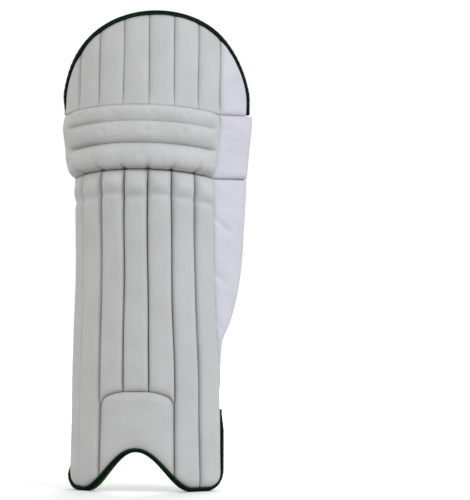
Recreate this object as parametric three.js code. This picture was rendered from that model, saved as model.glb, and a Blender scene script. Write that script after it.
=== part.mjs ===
// A cricket batting pad: a leg guard of padded ribs bent round the shin, with a knee roll, a thigh flap,
// a side wing, mesh bolsters inside and three strapped fastenings. Millimetres, X across the leg with the
// wing on +X, Y to the back of the leg, Z up. It stands on the two lobes beside the instep notch.
import * as THREE from 'three';

// Overall form
const RIB_COUNT = 7;
const HALF_FACE = RIB_COUNT / 2;      // half the face, counted in ribs
const LAYER_GAP = 0.8;                // between layers that lie on each other
const SEAM_GAP = 0.6;                 // between neighbours that are sewn edge to edge
const STAND = { x: -19, y: -37.2 }; // moves the origin under the middle of the whole pad

// The bend of the pad, one row for each height: the width of a rib, the width of the outermost rib on the
// plain side as a share of that, the radius of the bend on the side without and with the wing, and how far
// back the middle line stands.
const BENDS = [
  { z: 0, rib: 36, plainEdge: 0.78, plainRadius: 118, wingRadius: 138, back: -9 },
  { z: 150, rib: 35, plainEdge: 0.76, plainRadius: 116, wingRadius: 134, back: 0 },
  { z: 300, rib: 32.6, plainEdge: 0.76, plainRadius: 114, wingRadius: 131, back: 1 },
  { z: 438, rib: 32, plainEdge: 0.76, plainRadius: 112, wingRadius: 128, back: -1 },
  { z: 454, rib: 32.4, plainEdge: 1, plainRadius: 113, wingRadius: 129, back: -1 },
  { z: 545, rib: 35.5, plainEdge: 1, plainRadius: 140, wingRadius: 146, back: -2 },
  { z: 690, rib: 35.5, plainEdge: 1, plainRadius: 150, wingRadius: 158, back: 6 },
];

// How far the wing reaches beyond the last rib, one row for each height.
const WING_REACHES = [
  { z: 140, reach: 3 },
  { z: 162, reach: 5 },
  { z: 190, reach: 8.5 },
  { z: 212, reach: 12.5 },
  { z: 222, reach: 17 },
  { z: 236, reach: 27 },
  { z: 270, reach: 43 },
  { z: 320, reach: 56 },
  { z: 375, reach: 63 },
  { z: 450, reach: 69 },
  { z: 520, reach: 65 },
  { z: 545, reach: 64 },
  { z: 690, reach: 64 },
];

// Thigh flap: a superellipse in arc length and height
const FLAP = { middle: 28, halfWidth: 159, base: 520, rise: 170, acrossPower: 2, upPower: 2.1 };
const BINDING_WIDTH = 7;
const FLAP_BINDING = { front: 9, back: -9.5, steps: 44 };

// Foot of the pad: two lobes with a bell-shaped notch for the instep between them
const NOTCH = { rise: 57, halfWidth: 80 };
const FOOT = { plainHalf: 126, wingHalf: 134, cornerRadius: 30, bindingTop: 116 };
const FOOT_BINDING = { front: 9, back: -10 };
const SIDE_THINNING = { share: 0.2, from: 16, to: 44 };   // of the binding's front on the plain side

// Padded front
const RIB = { seam: 2, crown: 13, edgeCrown: 8, columns: 6 };
const ROLL_ARCH = 13;                 // the knee roll is this much lower at its ends
const KNEE_ROLLS = [
  { name: 'knee_roll_lower', bottom: 462, top: 500, crown: 23 },
  { name: 'knee_roll_middle', bottom: 500, top: 531, crown: 18 },
  { name: 'knee_roll_upper', bottom: 531, top: 554, crown: 15 },
];
const SHIN_TOP = 461;
const INSTEP = { halfRibs: 1.5, shoulder: 130, arch: 14, crown: 11 };
const WING = { seam: 2, crown: 8 };

// Linings and bolsters inside
const LINING = { thickness: 5 };
const INSIDE_MIDDLE = 0.25;           // ribs from the pad's middle toward the wing
const KNEE_CELL = { bottom: 452, top: 541, halfRibs: 1.5, crown: 22 };
const BOLSTER = { bottom: 128, top: 449, halfGap: 0.86, plainFar: 2.61, wingFar: 3.12, crown: 22 };
const WING_LINING = { thickness: 4 };

// Fastenings: webbing that goes round a ring and back on itself
const WEBBING = { thickness: 2, fold: 0.6 };
const RING = { width: 20, bar: 4, thickness: 4, overhang: 4.8, cornerRadius: 5 };
// Straps, one row each: height and width of the webbing, its slope, how far from the bar it laps back, the
// tab between its sewing line and the ring, how far from the plain edge and how deep inside that line is,
// how deep the anchor is sewn, and how far beyond the last rib it ends.
const STRAPS = [
  {
    name: 'knee', z: 483, width: 36, tilt: -0.02, lap: 184,
    tab: 9, tabInset: 0, tabDepth: 12.6, anchorDepth: 8.2, beyond: 56,
  },
  {
    name: 'calf', z: 361, width: 52, tilt: 0.006, lap: 176,
    tab: 8, tabInset: -2, tabDepth: 5.6, anchorDepth: 6.4, beyond: 50,
  },
  {
    name: 'ankle', z: 178, width: 52, tilt: 0.045, lap: 122,
    tab: 14, tabInset: 0, tabDepth: 6.4, anchorDepth: 7.6, beyond: 3,
  },
];
const CURVE_STEPS = 6;                // in each bend of the webbing
const ANCHOR_LENGTH = 14;             // of the sewn strap end
const ANCHOR_TURN = 6.5;              // from the anchor's end to where the webbing turns back

const leather = new THREE.MeshStandardMaterial({ color: 0xd9d9d6, roughness: 0.55 });
const binding = new THREE.MeshStandardMaterial({ color: 0x0f4a24, roughness: 0.6 });
const cloth = new THREE.MeshStandardMaterial({ color: 0x23722c, roughness: 0.75 });
const mesh = new THREE.MeshStandardMaterial({ color: 0x7fc02c, roughness: 0.9 });
const lining = new THREE.MeshStandardMaterial({ color: 0xdde2e4, roughness: 0.6 });
const webbing = new THREE.MeshStandardMaterial({ color: 0xeef0ea, roughness: 0.85 });
const plastic = new THREE.MeshStandardMaterial({ color: 0xf4f4f2, roughness: 0.35 });

const pad = new THREE.Group();
const { lerp, smoothstep } = THREE.MathUtils;

// A column of a table at a height, as a smooth curve through its rows that doesn't overshoot them.
function column(table, name, z) {
  const last = table.length - 1;
  let row = 0;
  while (row < last - 1 && z > table[row + 1].z) row += 1;
  const [low, high] = [table[row], table[row + 1]];
  const span = high.z - low.z;
  const t = THREE.MathUtils.clamp((z - low.z) / span, 0, 1);
  const rise = (index) => {
    const [from, to] = [table[index], table[index + 1]];
    return (to[name] - from[name]) / (to.z - from.z);
  };
  const slope = (index) => {
    const below = rise(Math.max(index - 1, 0));
    const upward = rise(Math.min(index, last - 1));
    return below * upward > 0 ? (2 * below * upward) / (below + upward) : 0;
  };
  return low[name] * (2 * t ** 3 - 3 * t ** 2 + 1)
    + high[name] * (3 * t ** 2 - 2 * t ** 3)
    + slope(row) * span * (t ** 3 - 2 * t ** 2 + t)
    + slope(row + 1) * span * (t ** 3 - t ** 2);
}

const faceEdge = (z) => HALF_FACE * column(BENDS, 'rib', z);

// The point at an arc length s from the middle line, a height z and a distance out of the bent surface.
// Past the last rib the surface runs straight on, as the wing does.
function onPad(s, z, out) {
  const side = s < 0 ? -1 : 1;
  const radius = column(BENDS, side < 0 ? 'plainRadius' : 'wingRadius', z);
  const bent = Math.min(Math.abs(s), faceEdge(z));
  const straight = Math.abs(s) - bent;
  const angle = bent / radius;
  const x = (radius + out) * Math.sin(angle) + straight * Math.cos(angle);
  const y = radius - (radius + out) * Math.cos(angle) + straight * Math.sin(angle);
  return new THREE.Vector3(side * x, column(BENDS, 'back', z) + y, z);
}

// Arc length of a place counted in ribs. From the last rib to one more is the whole reach of the wing.
function across(ribs, z) {
  const beyond = Math.max(ribs - HALF_FACE, 0);
  const outermost = Math.max(1 - HALF_FACE - ribs, 0);
  const whole = ribs - beyond + outermost * (1 - column(BENDS, 'plainEdge', z));
  return whole * column(BENDS, 'rib', z) + beyond * column(WING_REACHES, 'reach', z);
}

function add(name, geometry, material, parent = pad) {
  const piece = new THREE.Mesh(geometry, material);
  piece.name = name;
  parent.add(piece);
  return piece;
}

// A closed padded solid: a front grid, a back grid and the wall round their edges. front and back give a
// point for the shares u, from left to right, and v, from bottom to top.
function quilt(us, vs, front, back) {
  const vertices = [];
  for (const face of [front, back]) {
    for (const v of vs) {
      for (const u of us) vertices.push(...face(u, v).toArray());
    }
  }
  const wide = us.length;
  const layer = wide * vs.length;
  const index = [];
  for (let j = 0; j < vs.length - 1; j += 1) {
    for (let i = 0; i < wide - 1; i += 1) {
      const [a, b, c, d] = [j * wide + i, j * wide + i + 1, (j + 1) * wide + i + 1, (j + 1) * wide + i];
      index.push(a, b, c, a, c, d);
      index.push(layer + a, layer + c, layer + b, layer + a, layer + d, layer + c);
    }
  }
  const edge = [];
  const top = wide * (vs.length - 1);
  for (let i = 0; i < wide - 1; i += 1) edge.push(i);
  for (let j = 0; j < vs.length - 1; j += 1) edge.push(j * wide + wide - 1);
  for (let i = wide - 1; i > 0; i -= 1) edge.push(top + i);
  for (let j = vs.length - 1; j > 0; j -= 1) edge.push(j * wide);
  edge.forEach((p, k) => {
    const q = edge[(k + 1) % edge.length];
    index.push(q, p, layer + p, q, layer + p, layer + q);
  });
  const geometry = new THREE.BufferGeometry();
  geometry.setAttribute('position', new THREE.Float32BufferAttribute(vertices, 3));
  geometry.setIndex(index);
  geometry.computeVertexNormals();
  return geometry;
}

const evenly = (count) => Array.from({ length: count + 1 }, (_, i) => i / count);
const swell = (t, power) => Math.max(Math.sin(Math.PI * t), 0) ** power;

// A padded panel on the bent surface. left and right are places in ribs, bottom and top are heights for a
// place in ribs, and front and back are distances out of the surface for the shares u and v.
function panel(name, material, { left, right, bottom, top, us, vs, front, back }) {
  const at = (u, v, out) => {
    const ribs = lerp(left, right, u);
    const z = lerp(bottom(ribs), top(ribs), v);
    const trim = lerp(SEAM_GAP / 2, -SEAM_GAP / 2, u);
    return onPad(across(ribs, z) + trim, z, out(u, v));
  };
  const geometry = quilt(us, vs, (u, v) => at(u, v, front), (u, v) => at(u, v, back));
  return add(name, geometry, material);
}

// Edge lines, as heights for a place in ribs
const level = (z) => () => z;
const rollLine = (z) => (ribs) => z - ROLL_ARCH * Math.min(Math.abs(ribs) / HALF_FACE, 1) ** 2;

function flapTop(ribs) {
  const inset = BINDING_WIDTH + SEAM_GAP;
  const share = Math.abs(across(ribs, FLAP.base + FLAP.rise) - FLAP.middle) / (FLAP.halfWidth - inset);
  const height = Math.max(1 - share ** FLAP.acrossPower, 0) ** (1 / FLAP.upPower);
  return FLAP.base + (FLAP.rise - inset) * height;
}

// The foot's edge at an arc length s, set in by the width of the binding where a panel ends at it.
function footEdge(s, inset) {
  const intoCorner = Math.abs(s) - (s < 0 ? FOOT.plainHalf : FOOT.wingHalf) + FOOT.cornerRadius;
  if (intoCorner > 0) {
    const radius = FOOT.cornerRadius - inset;
    return FOOT.cornerRadius - Math.sqrt(Math.max(radius ** 2 - intoCorner ** 2, 0));
  }
  const phase = Math.PI * Math.min(Math.abs(s) / NOTCH.halfWidth, 1);
  const slope = (NOTCH.rise * Math.PI * Math.sin(phase)) / (2 * NOTCH.halfWidth);
  return NOTCH.rise * (0.5 + 0.5 * Math.cos(phase)) + inset * Math.hypot(1, slope);
}
const footTop = (ribs) => footEdge(across(ribs, 0), BINDING_WIDTH + 2 * SEAM_GAP);
const instepTop = (ribs) => INSTEP.shoulder
  + INSTEP.arch * (1 - Math.min(Math.abs(ribs) / INSTEP.halfRibs, 1) ** 3);
const above = (line, gap) => (ribs) => line(ribs) + gap;

const FLAT_BACK = () => 0;
const SHIN_ROWS = [0, 0.025, 0.1, 0.23, 0.38, 0.54, 0.7, 0.86, 0.97, 1];
const FLAP_ROWS = [0, 0.03, 0.14, 0.45, 0.8, 0.96, 1];

function makeRib(name, number, crown, bottom, top, vs, limits = [-HALF_FACE, HALF_FACE]) {
  const left = number - 1 - HALF_FACE;
  panel(name, leather, {
    left: Math.max(left, limits[0]),
    right: Math.min(left + 1, limits[1]),
    bottom,
    top,
    us: evenly(RIB.columns),
    vs,
    front: (u, v) => RIB.seam + crown * swell(u, 0.7) * (0.45 + 0.55 * swell(v, 0.35)),
    back: FLAT_BACK,
  });
}

// Shin: ribs from the knee roll to the foot. The middle ones stop at the instep patch.
function makeShin() {
  for (let number = 1; number <= RIB_COUNT; number += 1) {
    const middle = Math.abs(number - (RIB_COUNT + 1) / 2) < INSTEP.halfRibs;
    const bottom = middle ? above(instepTop, SEAM_GAP) : footTop;
    const crown = number === 1 ? RIB.edgeCrown : RIB.crown;
    makeRib(`shin_rib_${number}`, number, crown, bottom, rollLine(SHIN_TOP), SHIN_ROWS);
  }
  panel('instep_patch', leather, {
    left: -INSTEP.halfRibs,
    right: INSTEP.halfRibs,
    bottom: footTop,
    top: instepTop,
    us: evenly(10),
    vs: [0, 0.12, 0.35, 0.65, 0.88, 1],
    front: (u, v) => RIB.seam + INSTEP.crown * swell(u, 0.35) * (0.5 + 0.5 * swell(v, 0.4)),
    back: FLAT_BACK,
  });
}

// Knee roll: three padded rolls one above the other, bent round the knee.
function makeKneeRolls() {
  const ends = [0, 0.02, 0.06];
  const us = [...ends, ...evenly(12).slice(2, -2), ...ends.map((u) => 1 - u).reverse()];
  for (const roll of KNEE_ROLLS) {
    panel(roll.name, leather, {
      left: -HALF_FACE,
      right: HALF_FACE,
      bottom: above(rollLine(roll.bottom), SEAM_GAP / 2),
      top: above(rollLine(roll.top), -SEAM_GAP / 2),
      us,
      vs: [0, 0.1, 0.3, 0.5, 0.7, 0.9, 1],
      front: (u, v) => RIB.seam + roll.crown * swell(v, 0.6) * (0.35 + 0.65 * swell(u, 0.3)),
      back: FLAT_BACK,
    });
  }
}

// Thigh flap: ribs under the arched edge, and a plain panel that carries the flap onto the wing side.
const FLAP_BOTTOM = above(rollLine(KNEE_ROLLS[2].top), SEAM_GAP);
const FLAP_ENDS = [-3.39, 4.31];      // in ribs, where the arched edge comes down to the knee roll

function makeFlap() {
  for (let number = 1; number <= RIB_COUNT; number += 1) {
    const limits = [FLAP_ENDS[0], HALF_FACE];
    makeRib(`flap_rib_${number}`, number, RIB.crown, FLAP_BOTTOM, flapTop, FLAP_ROWS, limits);
  }
  makeWingPanel('flap_wing', FLAP_BOTTOM, flapTop, FLAP_ENDS[1]);
}

// Wing: flat padded panels in line with the last rib that cover the outer side of the leg.
function makeWingPanel(name, bottom, top, right) {
  panel(name, leather, {
    left: HALF_FACE,
    right,
    bottom,
    top,
    us: [0, 0.1, 0.35, 0.65, 0.9, 1],
    vs: [0, 0.06, 0.2, 0.4, 0.6, 0.8, 0.94, 1],
    front: (u, v) => WING.seam + WING.crown * swell(u, 0.4) * (0.3 + 0.7 * swell(v, 0.4)),
    back: FLAT_BACK,
  });
}

const WING_TIP = HALF_FACE + 1;
const WING_LOW = WING_REACHES[0].z;

function makeWing() {
  makeWingPanel('knee_wing', above(rollLine(KNEE_ROLLS[0].bottom), SEAM_GAP),
    above(rollLine(KNEE_ROLLS[2].top), -SEAM_GAP), WING_TIP);
  makeWingPanel('calf_wing', level(WING_LOW), rollLine(SHIN_TOP), WING_TIP);
}

// Bindings: green edging folded over the flap's arched edge and over the foot.
function makeFlapBinding() {
  const low = (KNEE_ROLLS[2].top - ROLL_ARCH + 2 - FLAP.base) / FLAP.rise;
  const start = Math.asin(low ** (FLAP.upPower / 2));
  const edge = (u, v, out) => {
    const angle = lerp(start, Math.PI - start, u);
    const inset = BINDING_WIDTH * (1 - v);
    const reach = Math.sign(Math.cos(angle)) * Math.abs(Math.cos(angle)) ** (2 / FLAP.acrossPower);
    const s = FLAP.middle - (FLAP.halfWidth - inset) * reach;
    const z = FLAP.base + (FLAP.rise - inset) * Math.sin(angle) ** (2 / FLAP.upPower);
    return onPad(s, z, out * (0.7 + 0.3 * swell(v, 1)));
  };
  add('flap_binding', quilt(evenly(FLAP_BINDING.steps), [0, 0.5, 1],
    (u, v) => edge(u, v, FLAP_BINDING.front), (u, v) => edge(u, v, FLAP_BINDING.back)), binding);
}

// The foot's edge as points of arc length and height: down one side, round the lobes and up the other.
function footOutline(inset) {
  const halfOutline = (sign, halfWidth) => {
    const half = [];
    const side = sign * (halfWidth - inset);
    for (const share of [0, 0.4, 0.8]) half.push([side, lerp(FOOT.bindingTop, FOOT.cornerRadius, share)]);
    for (const share of [0, 0.25, 0.5, 0.75]) {
      const angle = (share * Math.PI) / 2;
      half.push([
        sign * (halfWidth - FOOT.cornerRadius + (FOOT.cornerRadius - inset) * Math.cos(angle)),
        FOOT.cornerRadius - (FOOT.cornerRadius - inset) * Math.sin(angle),
      ]);
    }
    for (const share of evenly(2)) {
      const s = sign * lerp(halfWidth - FOOT.cornerRadius, NOTCH.halfWidth, share);
      half.push([s, footEdge(s, inset)]);
    }
    for (const share of evenly(10).slice(1)) {
      const s = sign * NOTCH.halfWidth * (1 - share);
      half.push([s, footEdge(s, inset)]);
    }
    return half;
  };
  const mirrored = halfOutline(1, FOOT.wingHalf).slice(0, -1).reverse();
  return [...halfOutline(-1, FOOT.plainHalf), ...mirrored];
}

function makeFootBinding() {
  const outer = footOutline(0);
  const inner = footOutline(BINDING_WIDTH);
  const steps = outer.length - 1;
  const { share, from, to } = SIDE_THINNING;
  const onPlainSide = (s) => s < FOOT.cornerRadius - FOOT.plainHalf;
  const frontShare = (s, z) => (onPlainSide(s) ? lerp(1, share, smoothstep(z, from, to)) : 1);
  const edge = (u, v, out) => {
    const k = Math.round(u * steps);
    const s = lerp(outer[k][0], inner[k][0], v);
    const z = lerp(outer[k][1], inner[k][1], v);
    const thinned = out > 0 ? frontShare(s, z) : 1;
    return onPad(s, z, out * thinned * (0.75 + 0.25 * swell(v, 1)));
  };
  add('foot_binding', quilt(evenly(steps), [0, 0.5, 1],
    (u, v) => edge(u, v, FOOT_BINDING.front), (u, v) => edge(u, v, FOOT_BINDING.back)), binding);
}

// Inside: linings laid on the back of the padding, and soft bolsters between them.
function makeInside(name, material, { left, right, bottom, top, us, vs, thickness, edge = 0.5 }) {
  panel(name, material, {
    left,
    right,
    bottom,
    top,
    us,
    vs,
    front: () => -LAYER_GAP,
    back: (u, v) => -LAYER_GAP
      - thickness * (edge + (1 - edge) * swell(u, 0.5) * swell(v, 0.3)),
  });
}

const SOFT_COLUMNS = [0, 0.06, 0.22, 0.5, 0.78, 0.94, 1];
const SOFT_ROWS = [0, 0.03, 0.12, 0.3, 0.5, 0.7, 0.88, 0.97, 1];
const PLAIN_ROWS = [0, 0.1, 0.3, 0.5, 0.7, 0.9, 1];

function makeKneeInside() {
  const height = { bottom: level(KNEE_CELL.bottom), top: level(KNEE_CELL.top), vs: PLAIN_ROWS };
  const [plainSide, wingSide] = [INSIDE_MIDDLE - KNEE_CELL.halfRibs, INSIDE_MIDDLE + KNEE_CELL.halfRibs];
  makeInside('knee_lining', cloth, {
    ...height, left: plainSide, right: wingSide, us: evenly(6), thickness: LINING.thickness,
  });
  const cell = { ...height, us: SOFT_COLUMNS, thickness: KNEE_CELL.crown, edge: 0.3 };
  makeInside('knee_bolster_plain', mesh, { ...cell, left: -HALF_FACE, right: plainSide });
  makeInside('knee_bolster_wing', mesh, { ...cell, left: wingSide, right: HALF_FACE });
  makeInside('thigh_lining', lining, {
    left: FLAP_ENDS[0],
    right: FLAP_ENDS[1],
    bottom: above(rollLine(KNEE_ROLLS[2].top), SEAM_GAP),
    top: flapTop,
    us: evenly(15),
    vs: [0, 0.15, 0.4, 0.7, 0.92, 1],
    thickness: LINING.thickness,
  });
}

function makeCalfInside() {
  const height = { bottom: level(BOLSTER.bottom), top: level(BOLSTER.top) };
  const { halfGap, plainFar, wingFar } = BOLSTER;
  const [plainNear, wingNear] = [INSIDE_MIDDLE - halfGap, INSIDE_MIDDLE + halfGap];
  makeInside('shin_lining', lining, {
    ...height, left: plainNear, right: wingNear, us: evenly(4), vs: SOFT_ROWS, thickness: LINING.thickness,
  });
  const soft = { ...height, us: SOFT_COLUMNS, vs: SOFT_ROWS, thickness: BOLSTER.crown, edge: 0.25 };
  makeInside('calf_bolster_plain', mesh, { ...soft, left: -plainFar, right: plainNear });
  makeInside('calf_bolster_wing', mesh, { ...soft, left: wingNear, right: wingFar });
  const side = { ...height, us: evenly(3), vs: SOFT_ROWS, thickness: LINING.thickness };
  makeInside('side_lining_plain', cloth, { ...side, left: -HALF_FACE, right: -plainFar });
  makeInside('side_lining_wing', cloth, { ...side, left: wingFar, right: HALF_FACE });
  makeInside('wing_lining', cloth, {
    left: HALF_FACE,
    right: WING_TIP,
    bottom: level(WING_LOW),
    top: rollLine(KNEE_ROLLS[2].top),
    us: evenly(3),
    vs: evenly(11),
    thickness: WING_LINING.thickness,
  });
}

// Foot lining: a middle panel behind the instep and a padded panel behind each lobe.
function makeFootInside() {
  const half = INSTEP.halfRibs - 0.1;
  const foot = { bottom: footTop, top: level(BOLSTER.bottom - SEAM_GAP), vs: PLAIN_ROWS, edge: 0.4 };
  makeInside('foot_lining_middle', cloth, {
    ...foot, left: -half, right: half, us: evenly(8), thickness: LINING.thickness,
  });
  const lobe = { ...foot, us: SOFT_COLUMNS, thickness: 2 * LINING.thickness };
  makeInside('foot_lining_plain', cloth, { ...lobe, left: -HALF_FACE, right: -half });
  makeInside('foot_lining_wing', cloth, { ...lobe, left: half, right: HALF_FACE });
}

// A strip of webbing on edge: its middle line in plan, given its thickness and extruded to its width.
function makeWebbing(name, line, width, parent) {
  const half = WEBBING.thickness / 2;
  const normals = line.map((point, i) => {
    const before = line[Math.max(i - 1, 0)];
    const after = line[Math.min(i + 1, line.length - 1)];
    const into = point.clone().sub(i ? before : after).normalize().multiplyScalar(i ? 1 : -1);
    const outOf = (i < line.length - 1 ? after.clone().sub(point).normalize() : into);
    const bisector = into.clone().add(outOf).normalize();
    const stretch = 1 / Math.max(bisector.dot(into), 0.6);
    return new THREE.Vector2(-bisector.y, bisector.x).multiplyScalar(half * stretch);
  });
  const left = line.map((point, i) => point.clone().add(normals[i]));
  const right = line.map((point, i) => point.clone().sub(normals[i])).reverse();
  const geometry = new THREE.ExtrudeGeometry(new THREE.Shape([...left, ...right]), {
    depth: width, bevelEnabled: false,
  });
  add(name, geometry, webbing, parent).position.z = -width / 2;
}

// Carries a line of webbing on to a ring's bar at the origin, round it and back. Both layers lie along +X,
// the first below the second, and draw together within a length of the bar.
function goRoundBar(line, draw, lap) {
  const lie = (WEBBING.thickness + WEBBING.fold) / 2;
  const wrap = RING.thickness * Math.SQRT1_2 + WEBBING.fold + WEBBING.thickness / 2;
  line.lineTo(draw, -lie);
  line.bezierCurveTo(0.6 * draw, -lie, 0.4 * draw, -wrap, 0, -wrap);
  line.absarc(0, 0, wrap, -Math.PI / 2, Math.PI / 2, true);
  line.bezierCurveTo(0.4 * draw, wrap, 0.6 * draw, lie, draw, lie);
  line.lineTo(lap, lie);
  const points = line.getPoints(CURVE_STEPS);
  return points.filter((point, i) => i === 0 || point.distanceTo(points[i - 1]) > WEBBING.fold / 10);
}

function makeRing(name, height, parent) {
  const outline = (width, tall, radius) => {
    const [x, y] = [width / 2 - radius, tall / 2 - radius];
    const path = new THREE.Shape();
    path.absarc(x, y, radius, 0, Math.PI / 2);
    path.absarc(-x, y, radius, Math.PI / 2, Math.PI);
    path.absarc(-x, -y, radius, Math.PI, 1.5 * Math.PI);
    path.absarc(x, -y, radius, 1.5 * Math.PI, 2 * Math.PI);
    return path;
  };
  const bevel = RING.bar / 4;
  const ring = outline(RING.width - 2 * bevel, height - 2 * bevel, RING.cornerRadius - bevel);
  const [openWidth, openHeight] = [RING.width - 2 * RING.bar, height - 2 * RING.bar];
  ring.holes.push(outline(openWidth + 2 * bevel, openHeight + 2 * bevel, RING.cornerRadius / 2));
  const geometry = new THREE.ExtrudeGeometry(ring, {
    depth: RING.thickness - 2 * bevel,
    bevelThickness: bevel,
    bevelSize: bevel,
    bevelSegments: 1,
    curveSegments: 3,
  });
  geometry.translate(0, 0, bevel - RING.thickness / 2);
  add(name, geometry, plastic, parent).rotation.x = Math.PI / 2;
}

// A fastening: the tab sewn in at the plain edge, the ring it holds, and the strap from the wing side that
// goes through the ring and laps back on itself. Its group lies along the strap, with the ring at its origin.
function makeFastening({ name, z, width, tilt, lap, tab, tabInset, tabDepth, anchorDepth, beyond }) {
  const plan = ({ x, y }) => new THREE.Vector2(x, y);
  const root = plan(onPad(across(-HALF_FACE, z) + tabInset, z, -tabDepth));
  const anchorEnd = plan(onPad(faceEdge(z) + beyond, z, -anchorDepth));
  const anchorStart = plan(onPad(faceEdge(z) + beyond - ANCHOR_LENGTH, z, -anchorDepth));
  const direction = anchorEnd.clone().sub(root).normalize();
  const barSpacing = RING.width - RING.bar;
  const centre = root.clone().addScaledVector(direction, tab + barSpacing / 2);

  const fastening = new THREE.Group();
  fastening.position.set(centre.x, centre.y, z);
  fastening.rotation.set(0, tilt, direction.angle(), 'ZYX');
  pad.add(fastening);
  makeRing(`${name}_ring`, width + 2 * RING.overhang, fastening);

  const strap = new THREE.Group();
  strap.position.x = barSpacing / 2;
  fastening.add(strap);
  const local = (point) => point.clone().sub(centre).rotateAround(new THREE.Vector2(), -direction.angle())
    .sub(new THREE.Vector2(barSpacing / 2, 0));
  const [start, end] = [local(anchorStart), local(anchorEnd)];
  const lie = (WEBBING.thickness + WEBBING.fold) / 2;
  const bend = end.clone().lerp(start, ANCHOR_TURN / ANCHOR_LENGTH);
  const line = new THREE.Path();
  line.moveTo(start.x, start.y);
  line.lineTo(bend.x, bend.y);
  line.quadraticCurveTo(end.x, end.y, end.x - 2 * ANCHOR_TURN, -lie);
  makeWebbing(`${name}_strap`, goRoundBar(line, RING.width, lap), width, strap);

  const holder = new THREE.Group();
  holder.position.x = -barSpacing / 2;
  holder.rotation.z = Math.PI;
  fastening.add(holder);
  const tabLine = new THREE.Path();
  tabLine.moveTo(tab, -lie);
  makeWebbing(`${name}_tab`, goRoundBar(tabLine, 0.9 * tab, tab), width, holder);
}

makeShin();
makeKneeRolls();
makeFlap();
makeWing();
makeFlapBinding();
makeFootBinding();
makeKneeInside();
makeCalfInside();
makeFootInside();
STRAPS.forEach(makeFastening);
pad.position.set(STAND.x, STAND.y, 0);

export default pad;
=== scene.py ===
"""Dresses a cricket batting pad in leather, cloth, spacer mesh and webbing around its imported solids.

Lengths are millimetres on the pad's bent surface until a mesh is made, and metres from there on.
"""

import logging
import math
from dataclasses import dataclass, field
from enum import Enum
from typing import Callable, Optional, Sequence

import bpy
import numpy as np
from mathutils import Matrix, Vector


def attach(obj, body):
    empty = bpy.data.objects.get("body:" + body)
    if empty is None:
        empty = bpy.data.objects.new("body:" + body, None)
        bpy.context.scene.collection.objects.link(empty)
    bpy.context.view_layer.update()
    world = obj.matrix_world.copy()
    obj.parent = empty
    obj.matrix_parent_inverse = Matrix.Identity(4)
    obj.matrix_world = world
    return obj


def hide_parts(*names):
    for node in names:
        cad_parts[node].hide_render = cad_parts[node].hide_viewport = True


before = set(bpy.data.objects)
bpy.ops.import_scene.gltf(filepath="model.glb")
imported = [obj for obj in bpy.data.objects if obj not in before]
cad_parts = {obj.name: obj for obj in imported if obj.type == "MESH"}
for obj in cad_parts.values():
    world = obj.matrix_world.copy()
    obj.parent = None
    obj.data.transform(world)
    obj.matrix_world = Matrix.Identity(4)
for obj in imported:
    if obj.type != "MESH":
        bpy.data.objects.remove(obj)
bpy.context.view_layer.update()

Array = np.ndarray
Line = Callable[[Array], Array]

LOG = logging.getLogger("batting_pad")
MM = 0.001
BODY = "root"
UV_NAME = "cloth"
CREASE_NAME = "crease"
RIB_COUNT = 7
HALF_FACE = RIB_COUNT / 2
STAND = np.array([-19.0, -37.2, 0.0])  # from the bent surface's origin to the middle of the pad's foot
LAYER_GAP = 0.8
SEAM_GAP = 0.3
WAVE_RIB = 34.0  # width of a rib for waves that are read at places in ribs


class Slot(Enum):
    """Material slots: the kinds of material that pieces take."""

    LEATHER = "leather"
    BINDING = "binding"
    CLOTH = "cloth"
    MESH = "mesh"
    LINING = "lining"
    WEBBING = "webbing"
    PLASTIC = "plastic"


# The bent surface


def smooth_column(heights: Array, values: Array, z: Array) -> Array:
    """Reads a column of a table at some heights, as a curve through its rows that never overshoots them.

    Args:
        heights: The rows' heights, rising.
        values: The rows' values.
        z: Heights to read at.

    Returns:
        The values at those heights.
    """
    z = np.asarray(z, float)
    rise = np.diff(values) / np.diff(heights)
    below, above = np.r_[rise[:1], rise], np.r_[rise, rise[-1:]]
    same_way = below * above > 0
    slopes = np.where(same_way, 2 * below * above / np.where(same_way, below + above, 1.0), 0.0)
    row = np.clip(np.searchsorted(heights, z) - 1, 0, len(heights) - 2)
    span = heights[row + 1] - heights[row]
    t = np.clip((z - heights[row]) / span, 0, 1)
    return (values[row] * (2 * t**3 - 3 * t**2 + 1) + values[row + 1] * (3 * t**2 - 2 * t**3)
            + slopes[row] * span * (t**3 - 2 * t**2 + t) + slopes[row + 1] * span * (t**3 - t**2))


@dataclass(frozen=True)
class Bend:
    """The pad's bend at one height.

    The columns are the width of a rib, that of the outermost rib on the plain side as a share of it, the
    radii on the plain side and on the wing's side, and the set-back of the middle line.
    """

    z: float
    rib: float
    plain_edge: float
    plain_radius: float
    wing_radius: float
    back: float


@dataclass(frozen=True)
class Reach:
    """How far the wing reaches beyond the last rib at one height."""

    z: float
    reach: float


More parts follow.
